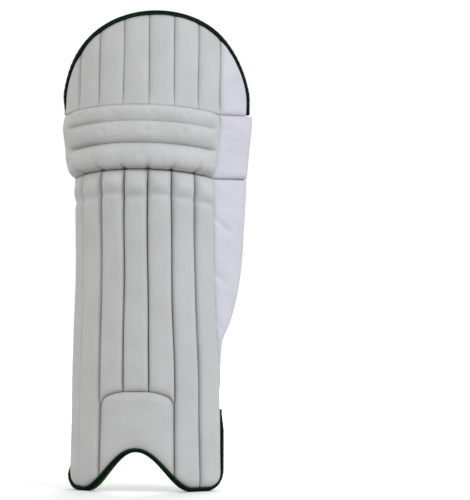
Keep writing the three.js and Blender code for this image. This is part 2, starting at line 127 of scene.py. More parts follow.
@dataclass
class PadSurface:
    """The surface bent round the shin that every padded piece lies on."""

    bends: tuple[Bend, ...] = (
        Bend(0, 36, 0.78, 118, 138, -9),
        Bend(150, 35, 0.76, 116, 134, 0),
        Bend(300, 32.6, 0.76, 114, 131, 1),
        Bend(438, 32, 0.76, 112, 128, -1),
        Bend(454, 32.4, 1, 113, 129, -1),
        Bend(545, 35.5, 1, 140, 146, -2),
        Bend(690, 35.5, 1, 150, 158, 6),
    )
    reaches: tuple[Reach, ...] = (
        Reach(140, 3), Reach(162, 5), Reach(190, 8.5), Reach(212, 12.5), Reach(222, 17), Reach(236, 27),
        Reach(270, 43), Reach(320, 56), Reach(375, 63), Reach(450, 69), Reach(520, 65), Reach(545, 64),
        Reach(690, 64),
    )

    def read(self, rows: Sequence, name: str, z: Array) -> Array:
        """Reads one named column of a table of rows at the heights z."""
        heights = np.array([row.z for row in rows], float)
        return smooth_column(heights, np.array([getattr(row, name) for row in rows], float), z)

    def rib(self, z: Array) -> Array:
        """Width of a rib at the heights z."""
        return self.read(self.bends, "rib", z)

    def face_edge(self, z: Array) -> Array:
        """Arc length from the middle line to the last rib's outer edge."""
        return HALF_FACE * self.rib(z)

    def across(self, ribs: Array, z: Array) -> Array:
        """Turns places counted in ribs into arc lengths; one more than the last rib is the wing's tip."""
        beyond = np.maximum(ribs - HALF_FACE, 0)
        outermost = np.maximum(1 - HALF_FACE - ribs, 0)
        whole = ribs - beyond + outermost * (1 - self.read(self.bends, "plain_edge", z))
        return whole * self.rib(z) + beyond * self.read(self.reaches, "reach", z)

    def at(self, s: Array, z: Array, out: Array) -> Array:
        """Gives points of the pad.

        Args:
            s: Arc lengths from the middle line, positive on the wing's side.
            z: Heights.
            out: Distances out of the surface, positive towards the front.

        Returns:
            Points in the surface's own frame, one more axis than the arguments.
        """
        s, z, out = np.broadcast_arrays(np.asarray(s, float), np.asarray(z, float), np.asarray(out, float))
        plain, wing = self.read(self.bends, "plain_radius", z), self.read(self.bends, "wing_radius", z)
        radius = np.where(s < 0, plain, wing)
        bent = np.minimum(np.abs(s), self.face_edge(z))
        straight = np.abs(s) - bent
        angle = bent / radius
        x = (radius + out) * np.sin(angle) + straight * np.cos(angle)
        y = radius - (radius + out) * np.cos(angle) + straight * np.sin(angle)
        return np.stack([np.where(s < 0, -x, x), self.read(self.bends, "back", z) + y, z], axis=-1)

    def outward(self, s: Array, z: Array) -> Array:
        """Unit vectors that point out of the surface."""
        way = self.at(s, z, np.ones_like(s)) - self.at(s, z, np.zeros_like(s))
        return way / np.linalg.norm(way, axis=-1, keepdims=True)


SURFACE = PadSurface()


# Curves and waves shared by the pieces


def bulge(t: Array, flatness: float, roundness: float) -> Array:
    """A padded profile across a share t: 0 at both ends, 1 in the middle.

    Args:
        t: Shares from 0 to 1.
        flatness: Higher values give a flatter top.
        roundness: Higher values give steeper sides.

    Returns:
        The profile's height.
    """
    return np.maximum(1 - np.abs(2 * t - 1) ** flatness, 0) ** (1 / roundness)


def rounded(distance: Array, radius: float) -> Array:
    """A quarter round that climbs from 0 to 1 within a radius of an edge."""
    part = np.clip(distance / radius, 0, 1)
    return np.sqrt(1 - (1 - part) ** 2)


def bump(distance: Array, width: float) -> Array:
    """A bell curve of a distance."""
    return np.exp(-((distance / width) ** 2))


def from_edges(values: Array, axis: int) -> Array:
    """Distance to the nearer of a grid's two edges along an axis, for values that rise along it."""
    first, last = np.take(values, [0], axis), np.take(values, [-1], axis)
    return np.minimum(values - first, last - values)


def ease(t: Array) -> Array:
    """A smooth step from 0 to 1."""
    t = np.clip(t, 0, 1)
    return t * t * (3 - 2 * t)


def graded(count: int, crowding: float = 0.6) -> Array:
    """Shares from 0 to 1 that crowd towards both ends.

    Args:
        count: Number of steps.
        crowding: 0 for even steps, 1 for steps as dense at the ends as those of a half circle.

    Returns:
        The shares.
    """
    t = np.linspace(0, 1, count + 1)
    return (1 - crowding) * t + crowding * (0.5 - 0.5 * np.cos(np.pi * t))


def run_length(line: Array) -> Array:
    """Length along a line of points, from its first point to each one."""
    return np.r_[0, np.cumsum(np.linalg.norm(np.diff(line, axis=0), axis=1))]


def signed_power(values: Array, power: float) -> Array:
    """A power of each value's size that keeps the value's sign."""
    return np.sign(values) * np.abs(values) ** power


class Ripple:
    """Smooth irregular waves over arc length and height, the same at each run."""

    def __init__(self, seed: int, wavelength: float, stretch: float = 1.0, waves: int = 9) -> None:
        """Draws the waves.

        Args:
            seed: Start of the random draws.
            wavelength: Middle wavelength.
            stretch: How much longer the waves are along the height than across.
            waves: Number of waves that are added up.
        """
        draw = np.random.default_rng(seed)
        angles = draw.uniform(0, 2 * np.pi, waves)
        lengths = wavelength * draw.uniform(0.6, 1.7, waves)
        self.across = 2 * np.pi * np.cos(angles) / lengths
        self.along = 2 * np.pi * np.sin(angles) / lengths / stretch
        self.phase = draw.uniform(0, 2 * np.pi, waves)

    def __call__(self, s: Array, z: Array) -> Array:
        """Height of the waves at s and z, about -1 to 1."""
        s, z = np.broadcast_arrays(np.asarray(s, float), np.asarray(z, float))
        total = np.sin(s[..., None] * self.across + z[..., None] * self.along + self.phase).sum(-1)
        return total / math.sqrt(2 * len(self.phase))


# Meshes


def link(name: str, data: bpy.types.ID) -> bpy.types.Object:
    """Makes an object of some data and links it to the scene."""
    thing = bpy.data.objects.new(name, data)
    bpy.context.scene.collection.objects.link(thing)
    return thing


@dataclass
class Grid:
    """Rows of points with their texture coordinates and how much painted crease shade darkens them."""

    points: Array
    uv: Array
    crease: Array


class Mesher:
    """Collects the vertices and faces of one piece and makes its mesh."""

    def __init__(self) -> None:
        """Starts with nothing."""
        self.vertices: list[Array] = []
        self.uvs: list[Array] = []
        self.creases: list[Array] = []
        self.faces: list[Array] = []
        self.ends: list[tuple[list[int], int]] = []
        self.materials: list[Array] = []
        self.count = 0

    def add_points(self, points: Array, uv: Array, crease: Array) -> Array:
        """Adds points and returns their indexes in the shape of the points' rows.

        Args:
            points: The points.
            uv: Their texture coordinates.
            crease: How much painted crease shade darkens them.

        Returns:
            Their indexes.
        """
        shape = points.shape[:-1]
        self.vertices.append(points.reshape(-1, 3))
        self.uvs.append(np.broadcast_to(uv, shape + (2,)).reshape(-1, 2))
        self.creases.append(np.broadcast_to(crease, shape).reshape(-1))
        indexes = self.count + np.arange(int(np.prod(shape))).reshape(shape)
        self.count += indexes.size
        return indexes

    def add_faces(self, indexes: Array, flip: bool = False, materials: Array = np.zeros(1, int)) -> None:
        """Adds quads between neighbouring rows and columns of indexes.

        Args:
            indexes: Rows of point indexes.
            flip: Whether the faces turn the other way.
            materials: Material index for each step between rows, or one for all of them.
        """
        quads = np.stack([indexes[:-1, :-1], indexes[:-1, 1:], indexes[1:, 1:], indexes[1:, :-1]], -1)
        rows, columns = quads.shape[:2]
        quads = quads.reshape(-1, 4)
        self.faces.append(quads[:, ::-1] if flip else quads)
        self.materials.append(np.repeat(np.broadcast_to(materials, rows), columns))

    def add_quilt(self, front: Grid, back: Grid) -> None:
        """Adds a closed padded solid from its front, its back and a wall round their edges.

        Args:
            front: Grid of its front.
            back: Grid of its back, with as many rows and columns.
        """
        faces = []
        for grid, flip in ((front, False), (back, True)):
            indexes = self.add_points(grid.points, grid.uv, grid.crease)
            self.add_faces(indexes, flip)
            edge = [indexes[0, :-1], indexes[:-1, -1], indexes[-1, :0:-1], indexes[:0:-1, 0]]
            loop = np.concatenate(edge)
            faces.append(np.r_[loop, loop[:1]])
        self.add_faces(np.stack(faces), flip=True)

    def add_tube(self, rings: Grid, closed: bool = False, flip: bool = False,
                 materials: Array = np.zeros(1, int)) -> None:
        """Adds a tube through rows of points that each go round it.

        Args:
            rings: One row for each ring; a ring's last point isn't its first one again.
            closed: Whether the last ring joins the first one.
            flip: Whether the rings go round the other way.
            materials: Material index for each step between rings, or one for all of them.
        """
        indexes = self.add_points(rings.points, rings.uv, rings.crease)
        wrapped = np.concatenate([indexes, indexes[:, :1]], axis=1)
        if closed:
            wrapped = np.concatenate([wrapped, wrapped[:1]])
        self.add_faces(wrapped, flip, materials)
        if not closed:
            for end, turned in ((0, not flip), (-1, flip)):
                ring = indexes[end, ::-1] if turned else indexes[end]
                self.ends.append((ring.tolist(), int(materials[end])))

    def make(self, name: str, finishes: Sequence["Finish"]) -> bpy.types.Object:
        """Makes the object.

        Args:
            name: The piece's name.
            finishes: Its materials, in the order of the faces' indexes.

        Returns:
            The object, linked to the scene.
        """
        points = (np.concatenate(self.vertices) + STAND) * MM
        faces = np.concatenate(self.faces).tolist() + [ring for ring, _ in self.ends]
        mesh = bpy.data.meshes.new(name)
        mesh.from_pydata(points.tolist(), [], faces)
        indexes = np.concatenate(self.materials + [np.array([m for _, m in self.ends], int)])
        mesh.polygons.foreach_set("material_index", indexes.astype(np.int32))
        mesh.polygons.foreach_set("use_smooth", np.ones(len(faces), bool))
        corners = np.zeros(len(mesh.loops), np.int32)
        mesh.loops.foreach_get("vertex_index", corners)
        uv = np.concatenate(self.uvs)[corners] * MM
        mesh.uv_layers.new(name=UV_NAME).data.foreach_set("uv", uv.astype(np.float32).ravel())
        crease = mesh.attributes.new(CREASE_NAME, "FLOAT", "POINT")
        crease.data.foreach_set("value", np.concatenate(self.creases).astype(np.float32))
        for finish in finishes:
            mesh.materials.append(finish.material())
        mesh.update()
        return link(name, mesh)


def dress(piece: bpy.types.Object, nodes: Sequence[str] = ()) -> bpy.types.Object:
    """Ties a finished piece to the frame.

    Args:
        piece: The piece, in place.
        nodes: Solids that it stands for.

    Returns:
        The same piece.
    """
    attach(piece, BODY)
    if nodes:
        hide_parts(*nodes)
    LOG.info("%s: %d faces", piece.name, len(piece.data.polygons))
    return piece


@dataclass
class Panel:
    """A padded panel on the bent surface, between two places in ribs and two lines of height.

    Its lower edge may run on into the next piece without a crease.
    """

    left: float
    right: float
    bottom: Line
    top: Line
    us: Array
    vs: Array
    wander: Callable[[Array, Array], Array] = field(default=lambda ribs, z: 0.0)
    runs_on: bool = False

    def place(self) -> tuple[Array, Array, Array, Array, Array]:
        """Gives the shares u and v, the places in ribs, the arc lengths and the heights of its grid."""
        u, v = np.meshgrid(self.us, self.vs)
        ribs = self.left + (self.right - self.left) * u
        low, high = self.bottom(ribs), self.top(ribs)
        z = low + (high - low) * v
        trim = SEAM_GAP / 2 * (1 - 2 * u)
        return u, v, ribs, SURFACE.across(ribs, z) + trim + self.wander(ribs, z), z

    def grid(self, out: Callable[..., Array], crease_width: float = 3.0) -> Grid:
        """Makes one face of the panel.

        Args:
            out: Distance out of the surface for u, v, ribs, arc length and height.
            crease_width: How far from the panel's edges its painted crease shade reaches.

        Returns:
            The grid of the face.
        """
        u, v, ribs, s, z = self.place()
        edge = np.minimum(from_edges(s, 1), z[-1:] - z if self.runs_on else from_edges(z, 0))
        points = SURFACE.at(s, z, np.broadcast_to(out(u, v, ribs, s, z), s.shape))
        # The crease value paints shade along the panel's edges and seams.
        return Grid(points, np.stack([s, z], -1), np.exp(-np.maximum(edge, 0) / crease_width))

    def make(self, name: str, finish: "Finish", front: Callable[..., Array],
             back: Callable[..., Array], crease_width: float = 3.0) -> bpy.types.Object:
        """Makes the closed panel from the distances of its front and its back."""
        mesher = Mesher()
        mesher.add_quilt(self.grid(front, crease_width), self.grid(back, crease_width))
        return mesher.make(name, [finish])


def flat_back(u: Array, v: Array, ribs: Array, s: Array, z: Array) -> Array:
    """A back that lies on the bent surface."""
    return np.zeros_like(s)


def level(z: float) -> Line:
    """A line of constant height."""
    return lambda ribs: np.full_like(ribs, z)


def above(line: Line, gap: float) -> Line:
    """A line that runs a gap above another one."""
    return lambda ribs: line(ribs) + gap


# Finishes


Colour = tuple[float, float, float, float]


def paint(red: int, green: int, blue: int) -> Colour:
    """Turns display values from 0 to 255 into the linear colour that shaders take.

    Args:
        red: Red as displayed.
        green: Green as displayed.
        blue: Blue as displayed.

    Returns:
        The opaque linear colour.
    """
    def linear(value: int) -> float:
        """One channel's linear value."""
        share = value / 255
        return share / 12.92 if share <= 0.04045 else ((share + 0.055) / 1.055) ** 2.4

    return linear(red), linear(green), linear(blue), 1.0


class Tree:
    """Adds and links the nodes of one shader tree."""

    def __init__(self, tree: bpy.types.NodeTree) -> None:
        """Takes the tree to work on."""
        self.tree = tree

    def add(self, kind: str, inputs: Optional[dict] = None, **settings: object) -> bpy.types.Node:
        """Adds a node.

        Args:
            kind: The node's type.
            inputs: Values or sockets for its inputs, by name or number.
            **settings: Other properties of the node.

        Returns:
            The node.
        """
        node = self.tree.nodes.new(kind)
        for name, value in settings.items():
            setattr(node, name, value)
        self.feed(node, inputs or {})
        return node

    def feed(self, node: bpy.types.Node, inputs: dict) -> None:
        """Links or sets some inputs of a node, by name or number."""
        for key, value in inputs.items():
            self.put(node.inputs[key], value)

    def put(self, socket: bpy.types.NodeSocket, value: object) -> None:
        """Links a socket to another one, or sets its value."""
        if isinstance(value, bpy.types.NodeSocket):
            self.tree.links.new(value, socket)
        else:
            socket.default_value = value

    def math(self, operation: str, *values: object, clamp: bool = False) -> bpy.types.NodeSocket:
        """Adds a Math node on some values or sockets and returns its output."""
        node = self.add("ShaderNodeMath", dict(enumerate(values)), operation=operation, use_clamp=clamp)
        return node.outputs[0]

    def span(self, value: object, low: object, high: object, to_low: float = 0.0,
             to_high: float = 1.0) -> bpy.types.NodeSocket:
        """Maps a value from one range to another, smoothly and clamped."""
        inputs = {"Value": value, "From Min": low, "From Max": high, "To Min": to_low, "To Max": to_high}
        return self.add("ShaderNodeMapRange", inputs, interpolation_type="SMOOTHSTEP").outputs[0]

    def mix(self, share: object, first: object, second: object) -> bpy.types.NodeSocket:
        """Mixes two colours."""
        node = self.add("ShaderNodeMix", data_type="RGBA")
        for socket, value in zip((node.inputs[0], node.inputs[6], node.inputs[7]), (share, first, second)):
            self.put(socket, value)
        return node.outputs[2]

    def noise(self, vector: object, scale: object, detail: float = 3.0) -> bpy.types.NodeSocket:
        """Adds a noise and returns its value."""
        node = self.add("ShaderNodeTexNoise", {"Vector": vector, "Scale": scale, "Detail": detail})
        return node.outputs["Fac"]


class Effect(Enum):
    """Shared surface effects, each one a shader node group that is built once."""

    # Painted shade in creases, mixed with faint clouds of soil.
    SOIL_AND_SHADE = "soil in creases"
    GRAIN = "leather grain"
    WEAVE = "plain weave"
    HOLES = "mesh holes"

    def group(self) -> bpy.types.NodeTree:
        """The effect's node group."""
        return bpy.data.node_groups.get(self.value) or EFFECT_BUILDERS[self](self.value)


class SocketKind(Enum):
    """Kinds of group sockets."""

    VALUE = "NodeSocketFloat"
    VECTOR = "NodeSocketVector"
    COLOUR = "NodeSocketColor"


def start_group(name: str, inputs: dict[str, SocketKind], outputs: dict[str, SocketKind]) -> tuple:
    """Starts a node group with named sockets.

    Args:
        name: The group's name.
        inputs: Kinds of its inputs by name.
        outputs: Kinds of its outputs by name.

    Returns:
        The group's tree, the sockets of its inputs, and the node that takes its outputs.
    """
    group = bpy.data.node_groups.new(name, "ShaderNodeTree")
    for in_out, sockets in (("INPUT", inputs), ("OUTPUT", outputs)):
        for socket, kind in sockets.items():
            group.interface.new_socket(name=socket, in_out=in_out, socket_type=kind.value)
    tree = Tree(group)
    return tree, tree.add("NodeGroupInput").outputs, tree.add("NodeGroupOutput").inputs


def build_soil_and_shade(name: str) -> bpy.types.NodeTree:
    """Grey-brown painted shade that gathers in creases, and soil that drifts over the surface in faint
    clouds.

    Args:
        name: The group's name.

    Returns:
        The group.
    """
    tree, given, result = start_group(
        name,
        {"Vector": SocketKind.VECTOR, "Crease": SocketKind.VALUE, "Colour": SocketKind.COLOUR,
         "Soil And Shade Colour": SocketKind.COLOUR, "Amount": SocketKind.VALUE, "Clouds": SocketKind.VALUE},
        {"Colour": SocketKind.COLOUR, "Mask": SocketKind.VALUE},
    )
    clouds = tree.span(tree.noise(given["Vector"], 22.0, 5.0), 0.35, 0.7)
    speckle = tree.span(tree.noise(given["Vector"], 420.0, 2.0), 0.3, 0.75, 0.55, 1.0)
    # Painted shade: the crease value darkens the colour, speckled a little.
    painted_crease_shade = tree.math("MULTIPLY", tree.math("MULTIPLY", given["Crease"], given["Amount"]), speckle)
    everywhere = tree.math("MULTIPLY", clouds, given["Clouds"])
    mask = tree.math("ADD", painted_crease_shade, everywhere, clamp=True)
    tree.put(result["Mask"], mask)
    tree.put(result["Colour"], tree.mix(mask, given["Colour"], given["Soil And Shade Colour"]))
    return tree.tree


def build_grain(name: str) -> bpy.types.NodeTree:
    """Fine pebbled grain of coated leather with broad soft wrinkles.

    Args:
        name: The group's name.

    Returns:
        The group.
    """
    tree, given, result = start_group(
        name,
        {"Vector": SocketKind.VECTOR, "Size": SocketKind.VALUE, "Wrinkles": SocketKind.VALUE},
        {"Height": SocketKind.VALUE, "Polish": SocketKind.VALUE},
    )
    per_size = tree.math("DIVIDE", 1.0, given["Size"])
    pebbles = tree.add("ShaderNodeTexVoronoi", {"Vector": given["Vector"], "Scale": per_size},
                       feature="DISTANCE_TO_EDGE")
    pebble = tree.span(pebbles.outputs["Distance"], 0.0, 0.35)
    pores = tree.noise(given["Vector"], tree.math("MULTIPLY", per_size, 2.6), 2.0)
    fine = tree.math("ADD", tree.math("MULTIPLY", pebble, 0.3), tree.math("MULTIPLY", pores, 0.2))
    folds = tree.math("MULTIPLY", tree.noise(given["Vector"], 95.0, 4.0), given["Wrinkles"])
    tree.put(result["Height"], tree.math("ADD", fine, folds))
    tree.put(result["Polish"], tree.span(tree.noise(given["Vector"], 60.0, 4.0), 0.3, 0.7))
    return tree.tree


def build_weave(name: str) -> bpy.types.NodeTree:
    """Threads that go over and under each other.

    Args:
        name: The group's name.

    Returns:
        The group.
    """
    tree, given, result = start_group(
        name,
        {"Vector": SocketKind.VECTOR, "Across": SocketKind.VALUE, "Along": SocketKind.VALUE},
        {"Height": SocketKind.VALUE, "Thread": SocketKind.VALUE},
    )
    parts = tree.add("ShaderNodeSeparateXYZ", {0: given["Vector"]}).outputs
    counts, crowns = [], []
    for part, pitch in ((parts[0], given["Across"]), (parts[1], given["Along"])):
        count = tree.math("DIVIDE", part, pitch)
        counts.append(tree.math("FLOOR", count))
        crowns.append(tree.math("ABSOLUTE", tree.math("SINE", tree.math("MULTIPLY", count, math.pi))))
    over = tree.math("FLOORED_MODULO", tree.math("ADD", *counts), 2.0)
    warp = tree.math("MULTIPLY", crowns[0], tree.math("MULTIPLY_ADD", crowns[1], 0.5, 0.5))
    weft = tree.math("MULTIPLY", crowns[1], tree.math("MULTIPLY_ADD", crowns[0], 0.5, 0.5))
    under = tree.math("SUBTRACT", 1.0, over)
    height = tree.math("ADD", tree.math("MULTIPLY", over, warp), tree.math("MULTIPLY", under, weft))
    tree.put(result["Height"], height)
    tree.put(result["Thread"], tree.span(height, 0.1, 0.8))
    return tree.tree


def build_holes(name: str) -> bpy.types.NodeTree:
    """Round holes in staggered rows, as in warp-knitted spacer mesh, drawn out along one diagonal.

    Args:
        name: The group's name.

    Returns:
        The group.
    """
    tree, given, result = start_group(
        name,
        {"Vector": SocketKind.VECTOR, "Pitch": SocketKind.VALUE},
        {"Hole": SocketKind.VALUE, "Height": SocketKind.VALUE},
    )
    parts = tree.add("ShaderNodeSeparateXYZ", {0: given["Vector"]}).outputs
    rows = [np.array([math.cos(angle), math.sin(angle)]) for angle in (0.45, 0.45 + 0.36 * math.pi)]
    waves = []
    for row in (rows[0], rows[1], rows[1] - rows[0]):
        across, along = (4 * math.pi / math.sqrt(3)) * row
        turn = tree.math("MULTIPLY_ADD", parts[0], across, tree.math("MULTIPLY", parts[1], along))
        waves.append(tree.math("COSINE", tree.math("DIVIDE", turn, given["Pitch"])))
    total = tree.math("ADD", tree.math("ADD", waves[0], waves[1]), waves[2])
    hole = tree.span(total, 0.15, 1.5)
    tree.put(result["Hole"], hole)
    tree.put(result["Height"], tree.math("SUBTRACT", 1.0, hole))
    return tree.tree


EFFECT_BUILDERS: dict[Effect, Callable[[str], bpy.types.NodeTree]] = {
    Effect.SOIL_AND_SHADE: build_soil_and_shade,
    Effect.GRAIN: build_grain,
    Effect.WEAVE: build_weave,
    Effect.HOLES: build_holes,
}


@dataclass(frozen=True)
class Finish:
    """A material with a name and a main colour; each kind of surface builds its own nodes."""

    name: str
    colour: Colour

    def material(self) -> bpy.types.Material:
        """The finish's material, built the first time that it is asked for."""
        return bpy.data.materials.get(self.name) or self.build()

    def start(self) -> tuple[bpy.types.Material, Tree, bpy.types.Node]:
        """Starts a material and returns it with its tree and its Principled shader."""
        material = bpy.data.materials.new(self.name)
        material.use_nodes = True
        material.diffuse_color = self.colour
        return material, Tree(material.node_tree), material.node_tree.nodes["Principled BSDF"]

    def place(self, tree: Tree) -> tuple[bpy.types.NodeSocket, bpy.types.NodeSocket]:
        """Gives the cloth coordinates, in metres, and the crease value."""
        uv = tree.add("ShaderNodeUVMap", uv_map=UV_NAME).outputs["UV"]
        return uv, tree.add("ShaderNodeAttribute", attribute_name=CREASE_NAME).outputs["Fac"]

    def effect(self, tree: Tree, effect: Effect, inputs: dict) -> bpy.types.Node:
        """Places a shared effect with its own values."""
        node = tree.add("ShaderNodeGroup", node_tree=effect.group())
        tree.feed(node, inputs)
        return node

    def lay_soil_and_shade(self, tree: Tree, shader: bpy.types.Node, place: tuple, colour: object, soil_and_shade: Colour,
                 amount: float, clouds: float) -> bpy.types.NodeSocket:
        """Darkens a colour with painted crease shade and soil clouds, feeds it into the shader and returns
        the mask.

        Args:
            tree: The material's tree.
            shader: Its Principled shader.
            place: The cloth coordinates and the crease value.
            colour: The clean colour.
            soil_and_shade: The colour of the painted shade and of the soil.
            amount: How much painted shade lies in creases.
            clouds: How much drifts over the surface.

        Returns:
            The mask of the painted shade and the soil.
        """
        node = self.effect(tree, Effect.SOIL_AND_SHADE, {
            "Vector": place[0], "Crease": place[1], "Colour": colour, "Soil And Shade Colour": soil_and_shade, "Amount": amount,
            "Clouds": clouds})
        tree.put(shader.inputs["Base Color"], node.outputs["Colour"])
        return node.outputs["Mask"]

    def relief(self, tree: Tree, shader: bpy.types.Node, height: object, depth: float,
               strength: float) -> None:
        """Feeds a height into the shader's normal, as a relief of a depth in millimetres."""
        inputs = {"Height": height, "Distance": depth * MM, "Strength": strength}
        tree.put(shader.inputs["Normal"], tree.add("ShaderNodeBump", inputs).outputs[0])

    def build(self) -> bpy.types.Material:
        """Builds the material."""
        raise NotImplementedError


@dataclass(frozen=True)
class LeatherFinish(Finish):
    """Coated white leather with a fine grain."""

    # The next colour darkens creases as painted shade and drifts over the leather in faint clouds of soil.
    soil_and_shade: Colour
    roughness: tuple[float, float] = (0.5, 0.64)
    grain: float = 1.1
    wrinkles: float = 0.95
    crease_shade: float = 0.55
    clouds: float = 0.12
    depth: float = 0.5
    strength: float = 0.55
    specular: float = 0.35

    def build(self) -> bpy.types.Material:
        """Builds the material."""
        material, tree, shader = self.start()
        place = self.place(tree)
        self.lay_soil_and_shade(tree, shader, place, self.colour, self.soil_and_shade, self.crease_shade, self.clouds)
        grain = self.effect(tree, Effect.GRAIN, {
            "Vector": place[0], "Size": self.grain * MM, "Wrinkles": self.wrinkles})
        polish = tree.span(grain.outputs["Polish"], 0.0, 1.0, *self.roughness)
        tree.feed(shader, {"Roughness": polish, "Specular IOR Level": self.specular})
        self.relief(tree, shader, grain.outputs["Height"], self.depth, self.strength)
        return material


@dataclass(frozen=True)
class ClothFinish(Finish):
    """Woven cloth or tape, darker between its threads and in its creases as painted shade."""

    shade: Colour
    across: float = 0.9
    along: float = 0.9
    roughness: float = 0.72
    crease_shade: float = 0.7
    clouds: float = 0.2
    depth: float = 0.35
    strength: float = 0.6
    sheen: float = 0.25
    specular: float = 0.3
    soil_roughness: float = 0.15

    def build(self) -> bpy.types.Material:
        """Builds the material."""
        material, tree, shader = self.start()
        place = self.place(tree)
        weave = self.effect(tree, Effect.WEAVE, {
            "Vector": place[0], "Across": self.across * MM, "Along": self.along * MM})
        # Painted shade between the threads.
        threads = tree.mix(weave.outputs["Thread"], self.shade, self.colour)
        mask = self.lay_soil_and_shade(tree, shader, place, threads, self.shade, self.crease_shade, self.clouds)
        soiled = min(self.roughness + self.soil_roughness, 1.0)
        tree.feed(shader, {"Roughness": tree.span(mask, 0.0, 1.0, self.roughness, soiled),
                           "Sheen Weight": self.sheen, "Specular IOR Level": self.specular})
        self.relief(tree, shader, weave.outputs["Height"], self.depth, self.strength)
        return material


@dataclass(frozen=True)
class MeshFinish(Finish):
    """Spacer mesh: knitted cloth with rows of open holes, painted darker inside as painted shade."""

    # Colour of the holes: painted shade inside them.
    hole: Colour
    shade: Colour
    pitch: float = 4.4
    crease_shade: float = 0.6
    clouds: float = 0.12
    roughness: tuple[float, float] = (0.62, 0.95)
    depth: float = 1.0
    strength: float = 0.8
    sheen: float = 0.2
    specular: float = 0.3

    def build(self) -> bpy.types.Material:
        """Builds the material."""
        material, tree, shader = self.start()
        place = self.place(tree)
        holes = self.effect(tree, Effect.HOLES, {"Vector": place[0], "Pitch": self.pitch * MM})
        # Painted shade in the holes.
        knit = tree.mix(holes.outputs["Hole"], self.colour, self.hole)
        self.lay_soil_and_shade(tree, shader, place, knit, self.shade, self.crease_shade, self.clouds)
        rough = tree.span(holes.outputs["Hole"], 0.0, 1.0, *self.roughness)
        tree.feed(shader, {"Roughness": rough, "Sheen Weight": self.sheen,
                           "Specular IOR Level": self.specular})
        self.relief(tree, shader, holes.outputs["Height"], self.depth, self.strength)
        return material


@dataclass(frozen=True)
class Stripe:
    """A colour of the webbing from a share of its width, counted from its lower edge."""

    start: float
    colour: Colour


@dataclass(frozen=True)
class WebbingFinish(Finish):
    """Woven webbing with stripes along it."""

    stripes: tuple[Stripe, ...]
    width: float
    threads: tuple[float, float] = (1.6, 0.8)
    # This colour paints shade into the webbing's creases and drifts over it in faint clouds of soil.
    soil_and_shade: Colour = paint(150, 150, 146)
    crease_shade: float = 0.3
    clouds: float = 0.06
    roughness: tuple[float, float] = (0.85, 0.7)
    depth: float = 0.4
    strength: float = 0.7
    sheen: float = 0.15
    specular: float = 0.3

    def build(self) -> bpy.types.Material:
        """Builds the material."""
        material, tree, shader = self.start()
        uv, crease = self.place(tree)
        height = tree.add("ShaderNodeSeparateXYZ", {0: uv}).outputs[1]
        share = tree.math("MULTIPLY_ADD", height, 1 / (self.width * MM), 0.5)
        frayed = tree.math("MULTIPLY_ADD", tree.noise(uv, 900.0, 1.0), 0.012, share)
        ramp = tree.add("ShaderNodeValToRGB", {0: frayed})
        ramp.color_ramp.interpolation = "CONSTANT"
        elements = ramp.color_ramp.elements
        while len(elements) < len(self.stripes):
            elements.new(1.0)
        for element, stripe in zip(elements, self.stripes):
            element.position, element.color = stripe.start, stripe.colour
        across, along = self.threads
        weave = self.effect(tree, Effect.WEAVE, {"Vector": uv, "Across": across * MM, "Along": along * MM})
        # Painted shade in the gaps between the threads darkens the stripes.
        threads = tree.add("ShaderNodeMix", data_type="RGBA", blend_type="MULTIPLY")
        gaps = tree.span(weave.outputs["Height"], 0.0, 0.7, 0.82, 1.0)
        for socket, value in zip(threads.inputs[6:8], (ramp.outputs[0], gaps)):
            tree.put(socket, value)
        threads.inputs[0].default_value = 1.0
        self.lay_soil_and_shade(tree, shader, (uv, crease), threads.outputs[2], self.soil_and_shade, self.crease_shade, self.clouds)
        rough = tree.span(weave.outputs["Thread"], 0.0, 1.0, *self.roughness)
        tree.feed(shader, {"Roughness": rough, "Sheen Weight": self.sheen,
                           "Specular IOR Level": self.specular})
        self.relief(tree, shader, weave.outputs["Height"], self.depth, self.strength)
        return material


@dataclass(frozen=True)
class PlasticFinish(Finish):
    """Moulded plastic with faint flow marks and handling scuffs."""

    roughness: tuple[float, float] = (0.28, 0.42)
    soil_and_shade: Colour = paint(176, 176, 172)
    crease_shade: float = 0.5
    clouds: float = 0.1
    scuff_scale: float = 260.0
    depth: float = 0.08
    strength: float = 0.3

    def build(self) -> bpy.types.Material:
        """Builds the material."""
        material, tree, shader = self.start()
        place = self.place(tree)
        self.lay_soil_and_shade(tree, shader, place, self.colour, self.soil_and_shade, self.crease_shade, self.clouds)
        scuffs = tree.noise(place[0], self.scuff_scale, 5.0)
        tree.put(shader.inputs["Roughness"], tree.span(scuffs, 0.3, 0.7, *self.roughness))
        self.relief(tree, shader, scuffs, self.depth, self.strength)
        return material


@dataclass(frozen=True)
class ThreadFinish(Finish):
    """Twisted sewing thread."""

    shade: Colour

    def build(self) -> bpy.types.Material:
        """Builds the material."""
        material, tree, shader = self.start()
        uv, _ = self.place(tree)
        plies = tree.add("ShaderNodeTexWave", {"Vector": uv, "Scale": 420.0, "Distortion": 0.4},
                         bands_direction="DIAGONAL").outputs["Fac"]
        tree.put(shader.inputs["Base Color"], tree.mix(plies, self.shade, self.colour))
        tree.put(shader.inputs["Roughness"], tree.span(plies, 0.0, 1.0, 0.8, 0.6))
        self.relief(tree, shader, plies, 0.1, 0.5)
        return material


WHITE = paint(224, 224, 221)
NAVY = paint(22, 22, 38)
LIME_LINE = paint(176, 214, 96)
PALE_LIME = paint(232, 240, 200)
GREY_LOOP = paint(186, 187, 190)


